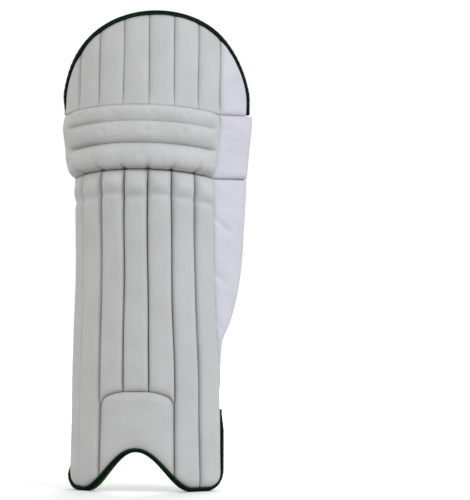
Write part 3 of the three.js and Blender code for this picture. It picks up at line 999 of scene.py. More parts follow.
@dataclass(frozen=True)
class Finishes:
    """Every finish of the pad."""

    front: LeatherFinish = LeatherFinish("leather_front", paint(203, 203, 202), paint(150, 148, 144),
                                         crease_shade=0.3)
    # Painted light: a lighter, bluer copy of the white leather for the wing, which faces the light.
    wing: LeatherFinish = LeatherFinish("leather_wing_painted_lighter", paint(216, 216, 223), paint(140, 140, 148),
                                        wrinkles=0.9, crease_shade=0.4, clouds=0.08)
    # The binding's shade colour paints its front half darker, as painted shade.
    binding: ClothFinish = ClothFinish("binding_tape", paint(34, 124, 46), paint(0, 20, 6), across=1.2,
                                       along=0.7, depth=0.3, roughness=0.6, crease_shade=1.25,
                                       sheen=0.0, specular=0.08)
    cloth: ClothFinish = ClothFinish("green_cloth", paint(36, 134, 38), paint(20, 88, 26), across=0.6,
                                     along=0.6, depth=0.18, roughness=0.62, sheen=0.08)
    mesh: MeshFinish = MeshFinish("lime_mesh", paint(138, 200, 50), paint(70, 128, 24), paint(52, 104, 22))
    lining: ClothFinish = ClothFinish("white_lining", paint(236, 240, 244), paint(184, 188, 192), across=0.7,
                                      along=0.7, depth=0.12, crease_shade=0.5, clouds=0.1, roughness=0.6)
    patch: ClothFinish = ClothFinish("grey_patch", paint(170, 172, 176), paint(122, 124, 130), across=0.8,
                                     along=0.8, depth=0.2, clouds=0.08)
    plastic: PlasticFinish = PlasticFinish("ring_plastic", paint(238, 240, 234))
    white_thread: ThreadFinish = ThreadFinish("white_thread", paint(232, 232, 228), paint(176, 176, 172))
    green_thread: ThreadFinish = ThreadFinish("green_thread", paint(22, 84, 40), paint(8, 44, 20))


FINISHES = Finishes()


# Edge lines of the pad


@dataclass(frozen=True)
class PadOutline:
    """The lines that the pad's pieces end at, as heights for places in ribs."""

    flap_middle: float = 28
    flap_half_width: float = 159
    flap_base: float = 520
    flap_rise: float = 170
    flap_across_power: float = 2.0
    flap_up_power: float = 2.1
    flap_ends: tuple[float, float] = (-3.39, 4.31)
    lining_ends: tuple[float, float] = (-3.48, 4.35)
    foot_lining_ends: tuple[float, float] = (-3.62, 4.95)
    binding_width: float = 7
    back_fold: float = 3.4
    notch_rise: float = 57
    notch_half_width: float = 80
    foot_halves: tuple[float, float] = (126, 134)
    foot_corner: float = 30
    foot_binding_top: float = 116
    roll_arch: float = 13
    shin_top: float = 461.7
    rolls: tuple[float, ...] = (462, 500, 531, 554)
    instep_half: float = 1.5
    instep_shoulder: float = 130
    instep_arch: float = 14
    instep_corner: float = 9
    wing_tip: float = HALF_FACE + 1
    wing_low: float = 140

    def roll_line(self, z: float) -> Line:
        """A line across the knee that is lower at its ends."""
        return lambda ribs: z - self.roll_arch * np.minimum(np.abs(ribs) / HALF_FACE, 1) ** 2

    def flap_arch(self, ribs: Array, inset: float) -> Array:
        """Height of the flap's arch, a distance inside its edge."""
        s = SURFACE.across(ribs, np.full_like(ribs, self.flap_base + self.flap_rise))
        share = np.abs(s - self.flap_middle) / (self.flap_half_width - inset)
        height = np.maximum(1 - share**self.flap_across_power, 0) ** (1 / self.flap_up_power)
        return self.flap_base + (self.flap_rise - inset) * height

    def flap_top(self, ribs: Array) -> Array:
        """Where the flap's panels meet the binding."""
        return self.flap_arch(ribs, self.binding_width - 1)

    def flap_lining_top(self, ribs: Array) -> Array:
        """Where the flap's lining meets the thin back fold of the binding."""
        return self.flap_arch(ribs, self.back_fold)

    def flap_edge(self, angle: Array, inset: Array) -> tuple[Array, Array]:
        """Arc length and height along the flap's arch, for an angle from the plain to the wing side."""
        cosine = np.cos(angle)
        reach = signed_power(cosine, 2 / self.flap_across_power)
        s = self.flap_middle - (self.flap_half_width - inset) * reach
        return s, self.flap_base + (self.flap_rise - inset) * np.sin(angle) ** (2 / self.flap_up_power)

    def flap_start(self) -> float:
        """The angle at which the arch leaves the knee roll."""
        low = (self.rolls[-1] - self.roll_arch + 2 - self.flap_base) / self.flap_rise
        return math.asin(low ** (self.flap_up_power / 2))

    def foot_edge(self, s: Array, inset: float) -> Array:
        """Height of the foot's edge: two lobes beside a bell-shaped notch.

        Args:
            s: Arc lengths.
            inset: Distance inside the edge.

        Returns:
            The heights.
        """
        into = np.abs(s) - np.where(s < 0, *self.foot_halves) + self.foot_corner
        round_off = np.sqrt(np.maximum((self.foot_corner - inset) ** 2 - np.maximum(into, 0) ** 2, 0))
        phase = np.pi * np.minimum(np.abs(s) / self.notch_half_width, 1)
        slope = self.notch_rise * np.pi * np.sin(phase) / (2 * self.notch_half_width)
        notch = self.notch_rise * (0.5 + 0.5 * np.cos(phase)) + inset * np.hypot(1, slope)
        return np.where(into > 0, self.foot_corner - round_off, notch)

    def foot_top(self, ribs: Array) -> Array:
        """Where panels meet the foot's binding."""
        return self.foot_edge(SURFACE.across(ribs, np.zeros_like(ribs)), self.binding_width - 1)

    def foot_lining_top(self, ribs: Array) -> Array:
        """Where linings meet the thin back fold of the foot's binding."""
        return self.foot_edge(SURFACE.across(ribs, np.zeros_like(ribs)), self.back_fold)

    def foot_outline(self, inset: float) -> tuple[Array, Array]:
        """Arc lengths and heights along the foot's edge, from one side round the lobes to the other.

        Args:
            inset: Distance inside the edge.

        Returns:
            The arc lengths and the heights.
        """
        side = np.linspace(self.foot_binding_top, self.foot_corner, 24, endpoint=False)
        turn = np.linspace(0, np.pi / 2, 10, endpoint=False)
        notch = np.linspace(self.notch_half_width, 0, 36)
        radius = self.foot_corner - inset
        halves = []
        for sign, half in zip((-1, 1), self.foot_halves):
            flat = np.linspace(half - self.foot_corner, self.notch_half_width, 8, endpoint=False)
            inner = sign * np.r_[flat, notch]
            s = np.r_[np.full(side.shape, half - inset), half - self.foot_corner + radius * np.cos(turn)]
            z = np.r_[side, self.foot_corner - radius * np.sin(turn), self.foot_edge(inner, inset)]
            halves.append((np.r_[sign * s, inner], z))
        (plain_s, plain_z), (wing_s, wing_z) = halves
        return np.r_[plain_s, wing_s[-2::-1]], np.r_[plain_z, wing_z[-2::-1]]

    def instep_top(self, ribs: Array) -> Array:
        """The arched top of the instep patch, with its corners rounded off."""
        share = np.minimum(np.abs(ribs) / self.instep_half, 1)
        corner = np.clip((share - 0.86) / 0.14, 0, 1) ** 2
        return self.instep_shoulder + self.instep_arch * (1 - share**3) - self.instep_corner * corner


OUTLINE = PadOutline()


def seam_wander(seed: int, amount: float) -> Callable[[Array, Array], Array]:
    """Small sideways drift that neighbouring panels share, so that sewn seams aren't dead straight."""
    ripple = Ripple(seed, 70, 2.2)
    return lambda ribs, z: amount * ripple(ribs * WAVE_RIB, z)


WANDER = seam_wander(3, 0.7)


# Stitches


class Stitcher:
    """Sews rows of thread stitches and joins them into one piece."""

    sides = 6
    steps = np.array([0.0, 0.12, 0.5, 0.88, 1.0])
    girth = np.array([0.35, 0.9, 1.0, 0.9, 0.35])
    lift = np.array([-0.9, 0.1, 0.5, 0.1, -0.9])

    def __init__(self, pitch: float = 3.6, length: float = 2.7, radius: float = 0.38) -> None:
        """Takes the stitches' spacing, length and thread radius."""
        self.pitch, self.length, self.radius = pitch, length, radius
        self.mesher = Mesher()

    def sew(self, line: Array, outward: Array) -> None:
        """Sews along a line.

        Args:
            line: Points of the seam.
            outward: Directions out of the cloth at those points.
        """
        run = run_length(line)
        for start in np.arange(0.3, run[-1] - self.length, self.pitch):
            at = start + self.steps * self.length
            middle = np.stack([np.interp(at, run, line[:, axis]) for axis in range(3)], -1)
            up = np.array([np.interp(start, run, outward[:, axis]) for axis in range(3)])
            ahead = middle[-1] - middle[0]
            aside = np.cross(ahead, up)
            aside, up = aside / np.linalg.norm(aside), up / np.linalg.norm(up)
            turn = np.linspace(0, 2 * np.pi, self.sides, endpoint=False)
            spokes = np.cos(turn)[:, None] * aside + np.sin(turn)[:, None] * up
            centre = middle + self.radius * self.lift[:, None] * up
            rings = centre[:, None] + self.radius * self.girth[:, None, None] * spokes
            uv = np.stack(np.broadcast_arrays(at[:, None], turn * self.radius), -1)
            self.mesher.add_tube(Grid(rings, uv, np.zeros(rings.shape[:2])), flip=True)

    def make(self, name: str, finish: Finish, slot: Slot) -> bpy.types.Object:
        """Joins the stitches into a piece."""
        return dress(self.mesher.make(name, [finish]))


# Padded front


@dataclass
class RibbedFront:
    """The ribs of the shin and of the thigh flap, and the smooth patch over the instep."""

    seam: float = 4.0
    shin_crown: float = 9.6
    edge_crown: float = 4.8
    flap_crown: float = 4.0
    shin_section: tuple[float, float] = (6.0, 2.2)
    flap_section: tuple[float, float] = (3.4, 1.5)
    merge_height: float = 13.0
    columns: int = 20
    row_pitch: float = 4.0
    end_round: float = 13.0
    end_height: float = 0.42
    dent_line: float = 425.5
    dent_width: float = 4.5
    dent_depth: float = 2.3
    puff_rise: float = 16
    puff_width: float = 11
    puff_height: float = 4.2
    puff_section: tuple[float, float] = (2.0, 1.1)
    swell_height: float = 3.0
    swell_width: float = 42.0
    ripple_depth: float = 0.55
    crease_width: float = 1.7
    patch_crown: float = 7.8
    patch_round: float = 15.0

    def rib(self, name: str, number: int, crown: float, section: tuple[float, float], bottom: Line, top: Line,
            limits: tuple[float, float] = (-HALF_FACE, HALF_FACE), merge: float = 0.0) -> bpy.types.Object:
        """Makes one rib.

        Args:
            name: The solid that the rib stands for.
            number: The rib's number, from the plain side.
            crown: How far it stands out at its middle.
            section: How flat its top and how steep its sides are.
            bottom: Its lower edge.
            top: Its upper edge.
            limits: Places in ribs that it doesn't pass.
            merge: How much its seams fill up at its lower end, from 0 to 1, where it runs on flush.

        Returns:
            The rib.
        """
        left = max(number - 1 - HALF_FACE, limits[0])
        right = min(number - HALF_FACE, limits[1])
        middle = np.array([(left + right) / 2])
        rows = int((top(middle) - bottom(middle))[0] / self.row_pitch)
        panel = Panel(left, right, bottom, top, graded(self.columns, 0.85), graded(rows, 0.4), WANDER,
                      runs_on=merge > 0)
        ripple, fine = Ripple(20 + number, 46, 2.4), Ripple(40 + number, 15, 1.2)
        dent = OUTLINE.roll_line(self.dent_line + ripple(number * 9.0, 0.0) * 3)

        def front(u: Array, v: Array, ribs: Array, s: Array, z: Array) -> Array:
            """The padded leather, dented under the knee roll."""
            ends = rounded(z[-1:] - z if merge else from_edges(z, 0), self.end_round)
            filled = merge * bump(z - z[:1], self.merge_height)
            across = bulge(u, *section) * (1 - filled) + filled
            body = crown * (self.end_height + (1 - self.end_height) * ends)
            waves = self.ripple_depth * (ripple(s, z) + 0.25 * fine(s, z))
            over = z - dent(ribs)
            puff = (self.puff_height * bump(over - self.puff_rise, self.puff_width)
                    + self.swell_height * bump(over, self.swell_width))
            body += waves - self.dent_depth * bump(over, self.dent_width)
            return self.seam + across * body + bulge(u, *self.puff_section) * puff

        piece = panel.make(f"{name}_cover", FINISHES.front, front, flat_back, self.crease_width)
        return dress(piece, [name])

    def build_shin(self) -> None:
        """Makes the shin's ribs; the middle ones stop at the instep patch."""
        for number in range(1, RIB_COUNT + 1):
            middle = abs(number - (RIB_COUNT + 1) / 2) < OUTLINE.instep_half
            bottom = above(OUTLINE.instep_top, SEAM_GAP) if middle else OUTLINE.foot_top
            crown = self.edge_crown if number == 1 else self.shin_crown
            self.rib(f"shin_rib_{number}", number, crown, self.shin_section, bottom,
                     OUTLINE.roll_line(OUTLINE.shin_top))

    def build_flap(self) -> None:
        """Makes the flap's ribs under its arched edge."""
        bottom = above(OUTLINE.roll_line(OUTLINE.rolls[-1]), SEAM_GAP)
        for number in range(1, RIB_COUNT + 1):
            limits = (OUTLINE.flap_ends[0], HALF_FACE)
            self.rib(f"flap_rib_{number}", number, self.flap_crown, self.flap_section, bottom,
                     OUTLINE.flap_top, limits, merge=0.8)

    def build_patch(self) -> None:
        """Makes the instep patch."""
        half = OUTLINE.instep_half
        panel = Panel(-half, half, OUTLINE.foot_top, OUTLINE.instep_top, graded(56), graded(40), WANDER)
        ripple = Ripple(61, 38)

        def front(u: Array, v: Array, ribs: Array, s: Array, z: Array) -> Array:
            """The padded leather, rounded at its edges."""
            side = rounded(from_edges(s, 1), self.patch_round)
            ends = rounded(from_edges(z, 0), self.patch_round)
            return self.seam + side * (0.4 + 0.6 * ends) * (self.patch_crown + 0.5 * ripple(s, z))

        piece = panel.make("instep_patch_cover", FINISHES.front, front, flat_back)
        dress(piece, ["instep_patch"])

    def build(self) -> None:
        """Makes the whole ribbed front."""
        self.build_shin()
        self.build_patch()
        self.build_flap()


def segment_distance(x: Array, z: Array, start: tuple[float, float], end: tuple[float, float]) -> Array:
    """Distance of points from a straight stretch between two points."""
    way = np.array(end) - np.array(start)
    t = np.clip(((x - start[0]) * way[0] + (z - start[1]) * way[1]) / (way @ way), 0, 1)
    return np.hypot(x - start[0] - t * way[0], z - start[1] - t * way[1])


@dataclass(frozen=True)
class Roll:
    """One roll over the knee.

    It has its solid's name, its lines of height, how far its lower crease, its crown and its upper crease
    stand out, and its tufts' places in ribs.
    """

    node: str
    bottom: float
    top: float
    low_crease: float
    crown: float
    high_crease: float
    tufts: tuple[float, ...]


@dataclass
class KneeRoll:
    """Three padded rolls under one leather cover; their creases die out before its ends."""

    rolls: tuple[Roll, ...] = (
        Roll("knee_roll_lower", 462, 500, 0, 20.5, 6.5, (-2.9, -1.75, 0.2, 3.05)),
        Roll("knee_roll_middle", 500, 531, 6.5, 15.5, 9, (-1.25, 0.4, 1.85, 3.2)),
        Roll("knee_roll_upper", 531, 554, 9, 12.0, 4.0, (-2.3, -0.85, 0.6, 1.95)),
    )
    seam: float = 4.0
    columns: int = 150
    roll_rows: int = 20
    section: tuple[float, float] = (2.1, 1.55)
    plain_crease: float = 3.0
    plain_crease_from: float = -0.6
    plain_crease_fade: float = 1.6
    end_height: float = 0.2
    stack_share: float = 0.92
    crease_ends: tuple[float, float] = (-3.12, 3.4)
    crease_fade: float = 0.45
    end_round: float = 15.0
    crease_width: float = 1.6
    sag: float = 5.0
    scallop: float = 3.0
    tuft_depth: float = 1.7
    tuft_width: float = 4.2
    pucker_depth: float = 3.2
    pucker_width: float = 3.0
    tuft_share: float = 0.6
    tuft_rib: float = 33.0
    tuft_half: float = 2.0
    sag_from: float = 9.0
    sag_rise: float = 12.0

    def rows(self) -> Array:
        """Shares of the cover's height, crowded at each roll's creases."""
        low, high = self.rolls[0].bottom, self.rolls[-1].top
        parts = [roll.bottom + (roll.top - roll.bottom) * graded(self.roll_rows, 0.8)[:-1]
                 for roll in self.rolls]
        return (np.r_[np.concatenate(parts), high] - low) / (high - low)

    def tuft_places(self) -> list[tuple[float, float]]:
        """Places in ribs and heights, before the arch, of the stitched tufts."""
        return [(ribs, roll.bottom + self.tuft_share * (roll.top - roll.bottom))
                for roll in self.rolls for ribs in roll.tufts]

    def build(self) -> None:
        """Makes the cover and sews its tufts."""
        low, high = self.rolls[0].bottom, self.rolls[-1].top
        bottom = above(OUTLINE.roll_line(low), SEAM_GAP / 2)
        top = above(OUTLINE.roll_line(high), 2 * SEAM_GAP)
        panel = Panel(-HALF_FACE, HALF_FACE, bottom, top, graded(self.columns, 0.5), self.rows(), WANDER)
        u, v, ribs, s, z = panel.place()
        flat = low + (high - low) * v
        width = SURFACE.rib(z)
        from_end = np.minimum(ribs - self.crease_ends[0], self.crease_ends[1] - ribs)
        creased = ease(from_end / self.crease_fade)
        stack = (self.rolls[0].crown + (self.rolls[-1].crown - self.rolls[0].crown) * v) * bulge(v, 4.0, 2.0)
        rolled, depth = np.zeros_like(s), np.zeros_like(s)
        for roll in self.rolls:
            t = (flat - roll.bottom) / (roll.top - roll.bottom)
            inside = (t >= 0) & (t <= 1)
            base = roll.low_crease + (roll.high_crease - roll.low_crease) * np.clip(t, 0, 1)
            rolled = np.where(inside, base + (roll.crown - base) * bulge(t, *self.section), rolled)
            depth = np.maximum(depth, np.exp(-np.abs(flat - roll.bottom) / self.crease_width))
        ends = rounded((HALF_FACE - np.abs(ribs)) * width, self.end_round)
        between = sum(bump(flat - roll.bottom, 2 * self.crease_width) for roll in self.rolls[1:])
        rolled -= self.plain_crease * between * ease((self.plain_crease_from - ribs) / self.plain_crease_fade)
        whole = creased * rolled + (1 - creased) * self.stack_share * stack
        out = whole * (self.end_height + (1 - self.end_height) * ends)

        lower = np.clip((flat - low) / (self.rolls[0].top - low), 0, 1)
        seams = np.abs(ribs - 0.5 - np.round(ribs - 0.5)) * width
        folds = Ripple(71, 11, 3.0)(s, z)
        gathered = bump(seams, self.pucker_width) * (1 - lower) ** 3 * ends
        out -= self.pucker_depth * gathered
        loose = 0.3 + 0.7 * (1 - lower) + (1 - creased)
        out += (0.8 * Ripple(72, 42)(s, z) + 0.5 * folds * loose) * bulge(v, 6, 2) * ends
        for place, height in self.tuft_places():
            out -= self.tuft_depth * bump(np.hypot((ribs - place) * width, flat - height), self.tuft_width)
        sagging = self.sag * ease((out - self.sag_from) / self.sag_rise) * (1 - lower) ** 1.3
        hang = sagging - self.scallop * gathered
        points = SURFACE.at(s, z - hang, self.seam + np.maximum(out, 0))
        edge = np.minimum(np.minimum(u, 1 - u) * 2 * HALF_FACE * width, v * (high - low))
        # The crease value paints shade along the cover's edges and along each roll's lower crease.
        crease = np.maximum(np.exp(-edge / self.crease_width), 0.7 * depth * creased)
        uv = np.stack([s, z], -1)
        mesher = Mesher()
        mesher.add_quilt(Grid(points, uv, crease), Grid(SURFACE.at(s, z, np.zeros_like(s)), uv, crease))
        piece = mesher.make("knee_roll_cover", [FINISHES.front])
        dress(piece, [roll.node for roll in self.rolls])
        self.sew_tufts(ribs, flat, points, SURFACE.outward(s, z))

    def sew_tufts(self, ribs: Array, flat: Array, points: Array, outward: Array) -> None:
        """Sews a short cross stitch in each tuft, where the cover's grid is nearest to it.

        Args:
            ribs: Places in ribs of the cover's grid.
            flat: Its heights before the arch.
            points: Its points.
            outward: Directions out of the cover there.
        """
        stitcher = Stitcher(pitch=9.0, length=3.4, radius=0.45)
        for place, height in self.tuft_places():
            distance = np.hypot((ribs - place) * self.tuft_rib, flat - height)
            row, col = np.unravel_index(np.argmin(distance), distance.shape)
            middle, up = points[row, col], outward[row, col]
            along = points[row, col + 1] - points[row, col - 1]
            along /= np.linalg.norm(along)
            for way in (along, np.cross(along, up)):
                line = middle + self.tuft_half * np.array([-1.0, 0.0, 1.0])[:, None] * way + 0.2 * up
                stitcher.sew(line, np.tile(up, (3, 1)))
        stitcher.make("knee_roll_tufts", FINISHES.white_thread, Slot.LEATHER)


# Side wing


@dataclass(frozen=True)
class Crease:
    """A sewn crease of the wing, between two points given by distance from the last rib and height."""

    start: tuple[float, float]
    end: tuple[float, float]


@dataclass
class Wing:
    """Soft panels that carry the front round the outer side of the leg."""

    seam: float = 3.6
    crown: float = 5.4
    edge_round: float = 9.0
    crease_width: float = 3.4
    crease_depth: float = 2.6
    creases: tuple[Crease, ...] = (
        Crease((2, 392), (30, 374)),
        Crease((2, 312), (26, 296)),
        Crease((2, 242), (12, 231)),
    )

    def panel(self, name: str, seed: int, bottom: Line, top: Line, right: float, rows: int) -> None:
        """Makes one panel of the wing.

        Args:
            name: The solid that it stands for.
            seed: Start of its ripples.
            bottom: Its lower edge.
            top: Its upper edge.
            right: Where it ends, in ribs.
            rows: Rows of its grid.
        """
        panel = Panel(HALF_FACE, right, bottom, top, graded(34, 0.6), graded(rows, 0.5))
        ripple, fine = Ripple(seed, 48), Ripple(seed + 1, 17)

        def front(u: Array, v: Array, ribs: Array, s: Array, z: Array) -> Array:
            """The soft leather with its slanting dents."""
            side = rounded(from_edges(s, 1), self.edge_round)
            ends = rounded(from_edges(z, 0), self.edge_round)
            body = (0.25 + 0.75 * side) * (0.3 + 0.7 * ends) * self.crown
            waves = side * ends * (0.8 * ripple(s, z) + 0.25 * fine(s, z))
            beyond = s - SURFACE.face_edge(z)
            dents = sum(bump(segment_distance(beyond, z, crease.start, crease.end), self.crease_width)
                        for crease in self.creases)
            return self.seam + np.maximum(body + waves - self.crease_depth * side * dents, 0)

        dress(panel.make(f"{name}_cover", FINISHES.wing, front, flat_back), [name])

    def build(self) -> None:
        """Makes the panels beside the flap, the knee and the calf."""
        flap_low = OUTLINE.roll_line(OUTLINE.rolls[-1])
        self.panel("flap_wing", 81, above(flap_low, SEAM_GAP), OUTLINE.flap_top, OUTLINE.flap_ends[1], 36)
        self.panel("knee_wing", 83, above(OUTLINE.roll_line(OUTLINE.rolls[0]), SEAM_GAP),
                   above(flap_low, -SEAM_GAP), OUTLINE.wing_tip, 36)
        self.panel("calf_wing", 85, level(OUTLINE.wing_low), OUTLINE.roll_line(OUTLINE.shin_top),
                   OUTLINE.wing_tip, 90)


# Bindings


@dataclass
class Bindings:
    """Green tape folded over the flap's arch and over the foot."""

    front: float = 9.0
    flap_back: float = -7.0
    foot_back: float = -7.0
    ring_points: int = 24
    squareness: float = 0.75
    flap_steps: int = 150
    pucker: float = 0.3
    pucker_pitch: float = 9.0
    taper: float = 34.0
    front_shade_from: float = -1.0
    front_shade_rise: float = 7.0
    side_share: float = 0.2
    side_from: float = 16.0
    side_to: float = 44.0

    def section(self, back: float) -> tuple[Array, Array]:
        """Insets from the edge and distances out of the surface round the folded tape.

        Args:
            back: How far its back fold stands out, below 0 towards the leg.

        Returns:
            The insets and the distances.
        """
        turn = np.linspace(0, 2 * np.pi, self.ring_points, endpoint=False)
        cosine, sine = np.cos(turn), np.sin(turn)
        width = np.where(sine > -0.05, OUTLINE.binding_width, OUTLINE.back_fold)
        inset = width * (0.5 - 0.5 * signed_power(cosine, self.squareness))
        half = (self.front - back) / 2
        return inset, (self.front + back) / 2 + half * signed_power(sine, self.squareness)

    def tape(self, name: str, s: Array, z: Array, out: Array) -> None:
        """Makes a binding and its two rows of stitches.

        Args:
            name: The solid that it stands for.
            s: Arc lengths of its rings' points.
            z: Heights of its rings' points.
            out: Distances out of the surface of its rings' points, or of each ring's.
        """
        run = run_length(np.stack([s[:, 0], z[:, 0]], -1))
        folds = self.pucker * np.sin(2 * np.pi * run / self.pucker_pitch + 1.5 * np.sin(run / 23))
        full = 0.45 + 0.55 * ease(np.minimum(run, run[-1] - run) / self.taper)
        out = np.broadcast_to(out, s.shape)
        points = SURFACE.at(s, z, out * full[:, None] + folds[:, None] * np.sign(out))
        around = np.arange(self.ring_points) * 2.4
        uv = np.stack(np.broadcast_arrays(run[:, None], around), -1)
        # Painted shade: the crease value darkens the tape's front half towards its shade colour.
        crease = ease((out - self.front_shade_from) / self.front_shade_rise)
        mesher = Mesher()
        mesher.add_tube(Grid(points, uv, crease))
        dress(mesher.make(f"{name}_tape", [FINISHES.binding]), [name])
        stitcher = Stitcher()
        quarter = self.ring_points // 4
        for spot, side in ((quarter + 1, 1), (3 * quarter - 1, -1)):
            stitcher.sew(points[:, spot], side * SURFACE.outward(s[:, spot], z[:, spot]))
        stitcher.make(f"{name}_stitches", FINISHES.green_thread, Slot.BINDING)

    def build(self) -> None:
        """Makes both bindings."""
        inset, out = self.section(self.flap_back)
        start = OUTLINE.flap_start()
        angle = np.linspace(start, np.pi - start, self.flap_steps)
        s, z = OUTLINE.flap_edge(angle[:, None], inset[None, :])
        self.tape("flap_binding", s, z, out)
        inset, out = self.section(self.foot_back)
        lines = [OUTLINE.foot_outline(one) for one in inset]
        s, z = (np.stack([line[axis] for line in lines], -1) for axis in (0, 1))
        plain_side = s < OUTLINE.foot_corner - OUTLINE.foot_halves[0]
        thin = (1 - self.side_share) * ease((z - self.side_from) / (self.side_to - self.side_from))
        self.tape("foot_binding", s, z, out * np.where(plain_side & (out > 0), 1 - thin, 1))


# Linings and bolsters inside


@dataclass(frozen=True)
class Puff:
    """Swells a padded piece a little by cloth simulation under pressure, with its sewn edges held.

    The cap is how far a point may move, in millimetres.
    """

    pressure: float
    cap: float
    frames: int = 14
    mass: float = 0.01
    quality: int = 6
    stiffness: float = 20.0
    bending: float = 0.3

    def run(self, piece: bpy.types.Object, held: Array) -> None:
        """Runs the simulation and keeps its result.

        Args:
            piece: The piece, whose mesh is moved.
            held: For each vertex, how firmly it is sewn down, from 0 to 1.
        """
        scene = bpy.context.scene
        group = piece.vertex_groups.new(name="sewn")
        for index, weight in enumerate(held):
            group.add([index], float(weight), "REPLACE")
        modifier = piece.modifiers.new("stuffing", "CLOTH")
        cloth = modifier.settings
        cloth.vertex_group_mass = group.name
        cloth.mass = self.mass
        cloth.use_pressure = True
        cloth.uniform_pressure_force = self.pressure
        cloth.effector_weights.gravity = 0.0
        cloth.quality = self.quality
        cloth.tension_stiffness = cloth.compression_stiffness = self.stiffness
        cloth.bending_stiffness = self.bending
        modifier.point_cache.frame_start, modifier.point_cache.frame_end = 1, self.frames
        for step in range(1, self.frames + 1):
            scene.frame_set(step)
        moved = piece.evaluated_get(bpy.context.evaluated_depsgraph_get())
        before, after = (np.zeros(len(piece.data.vertices) * 3, np.float32) for _ in range(2))
        piece.data.vertices.foreach_get("co", before)
        moved.data.vertices.foreach_get("co", after)
        shift = (after - before).reshape(-1, 3)
        size = np.linalg.norm(shift, axis=1, keepdims=True)
        cap = self.cap * MM
        shift *= np.tanh(size / cap) * cap / np.maximum(size, 1e-9)
        piece.modifiers.remove(modifier)
        piece.vertex_groups.remove(group)
        scene.frame_set(1)
        piece.data.vertices.foreach_set("co", (before.reshape(-1, 3) + shift).ravel())
        piece.data.update()


@dataclass(frozen=True)
class Lining:
    """A panel on the pad's back: its solid, slot, place, thickness and stuffing."""

    node: str
    slot: Slot
    left: float
    right: float
    bottom: Line
    top: Line
    thickness: float
    edge: float = 0.5
    edge_round: float = 12.0
    waves: float = 0.5
    fill: float = 0.4
    pressure: float = 0.0
    columns: int = 30
    rows: int = 40


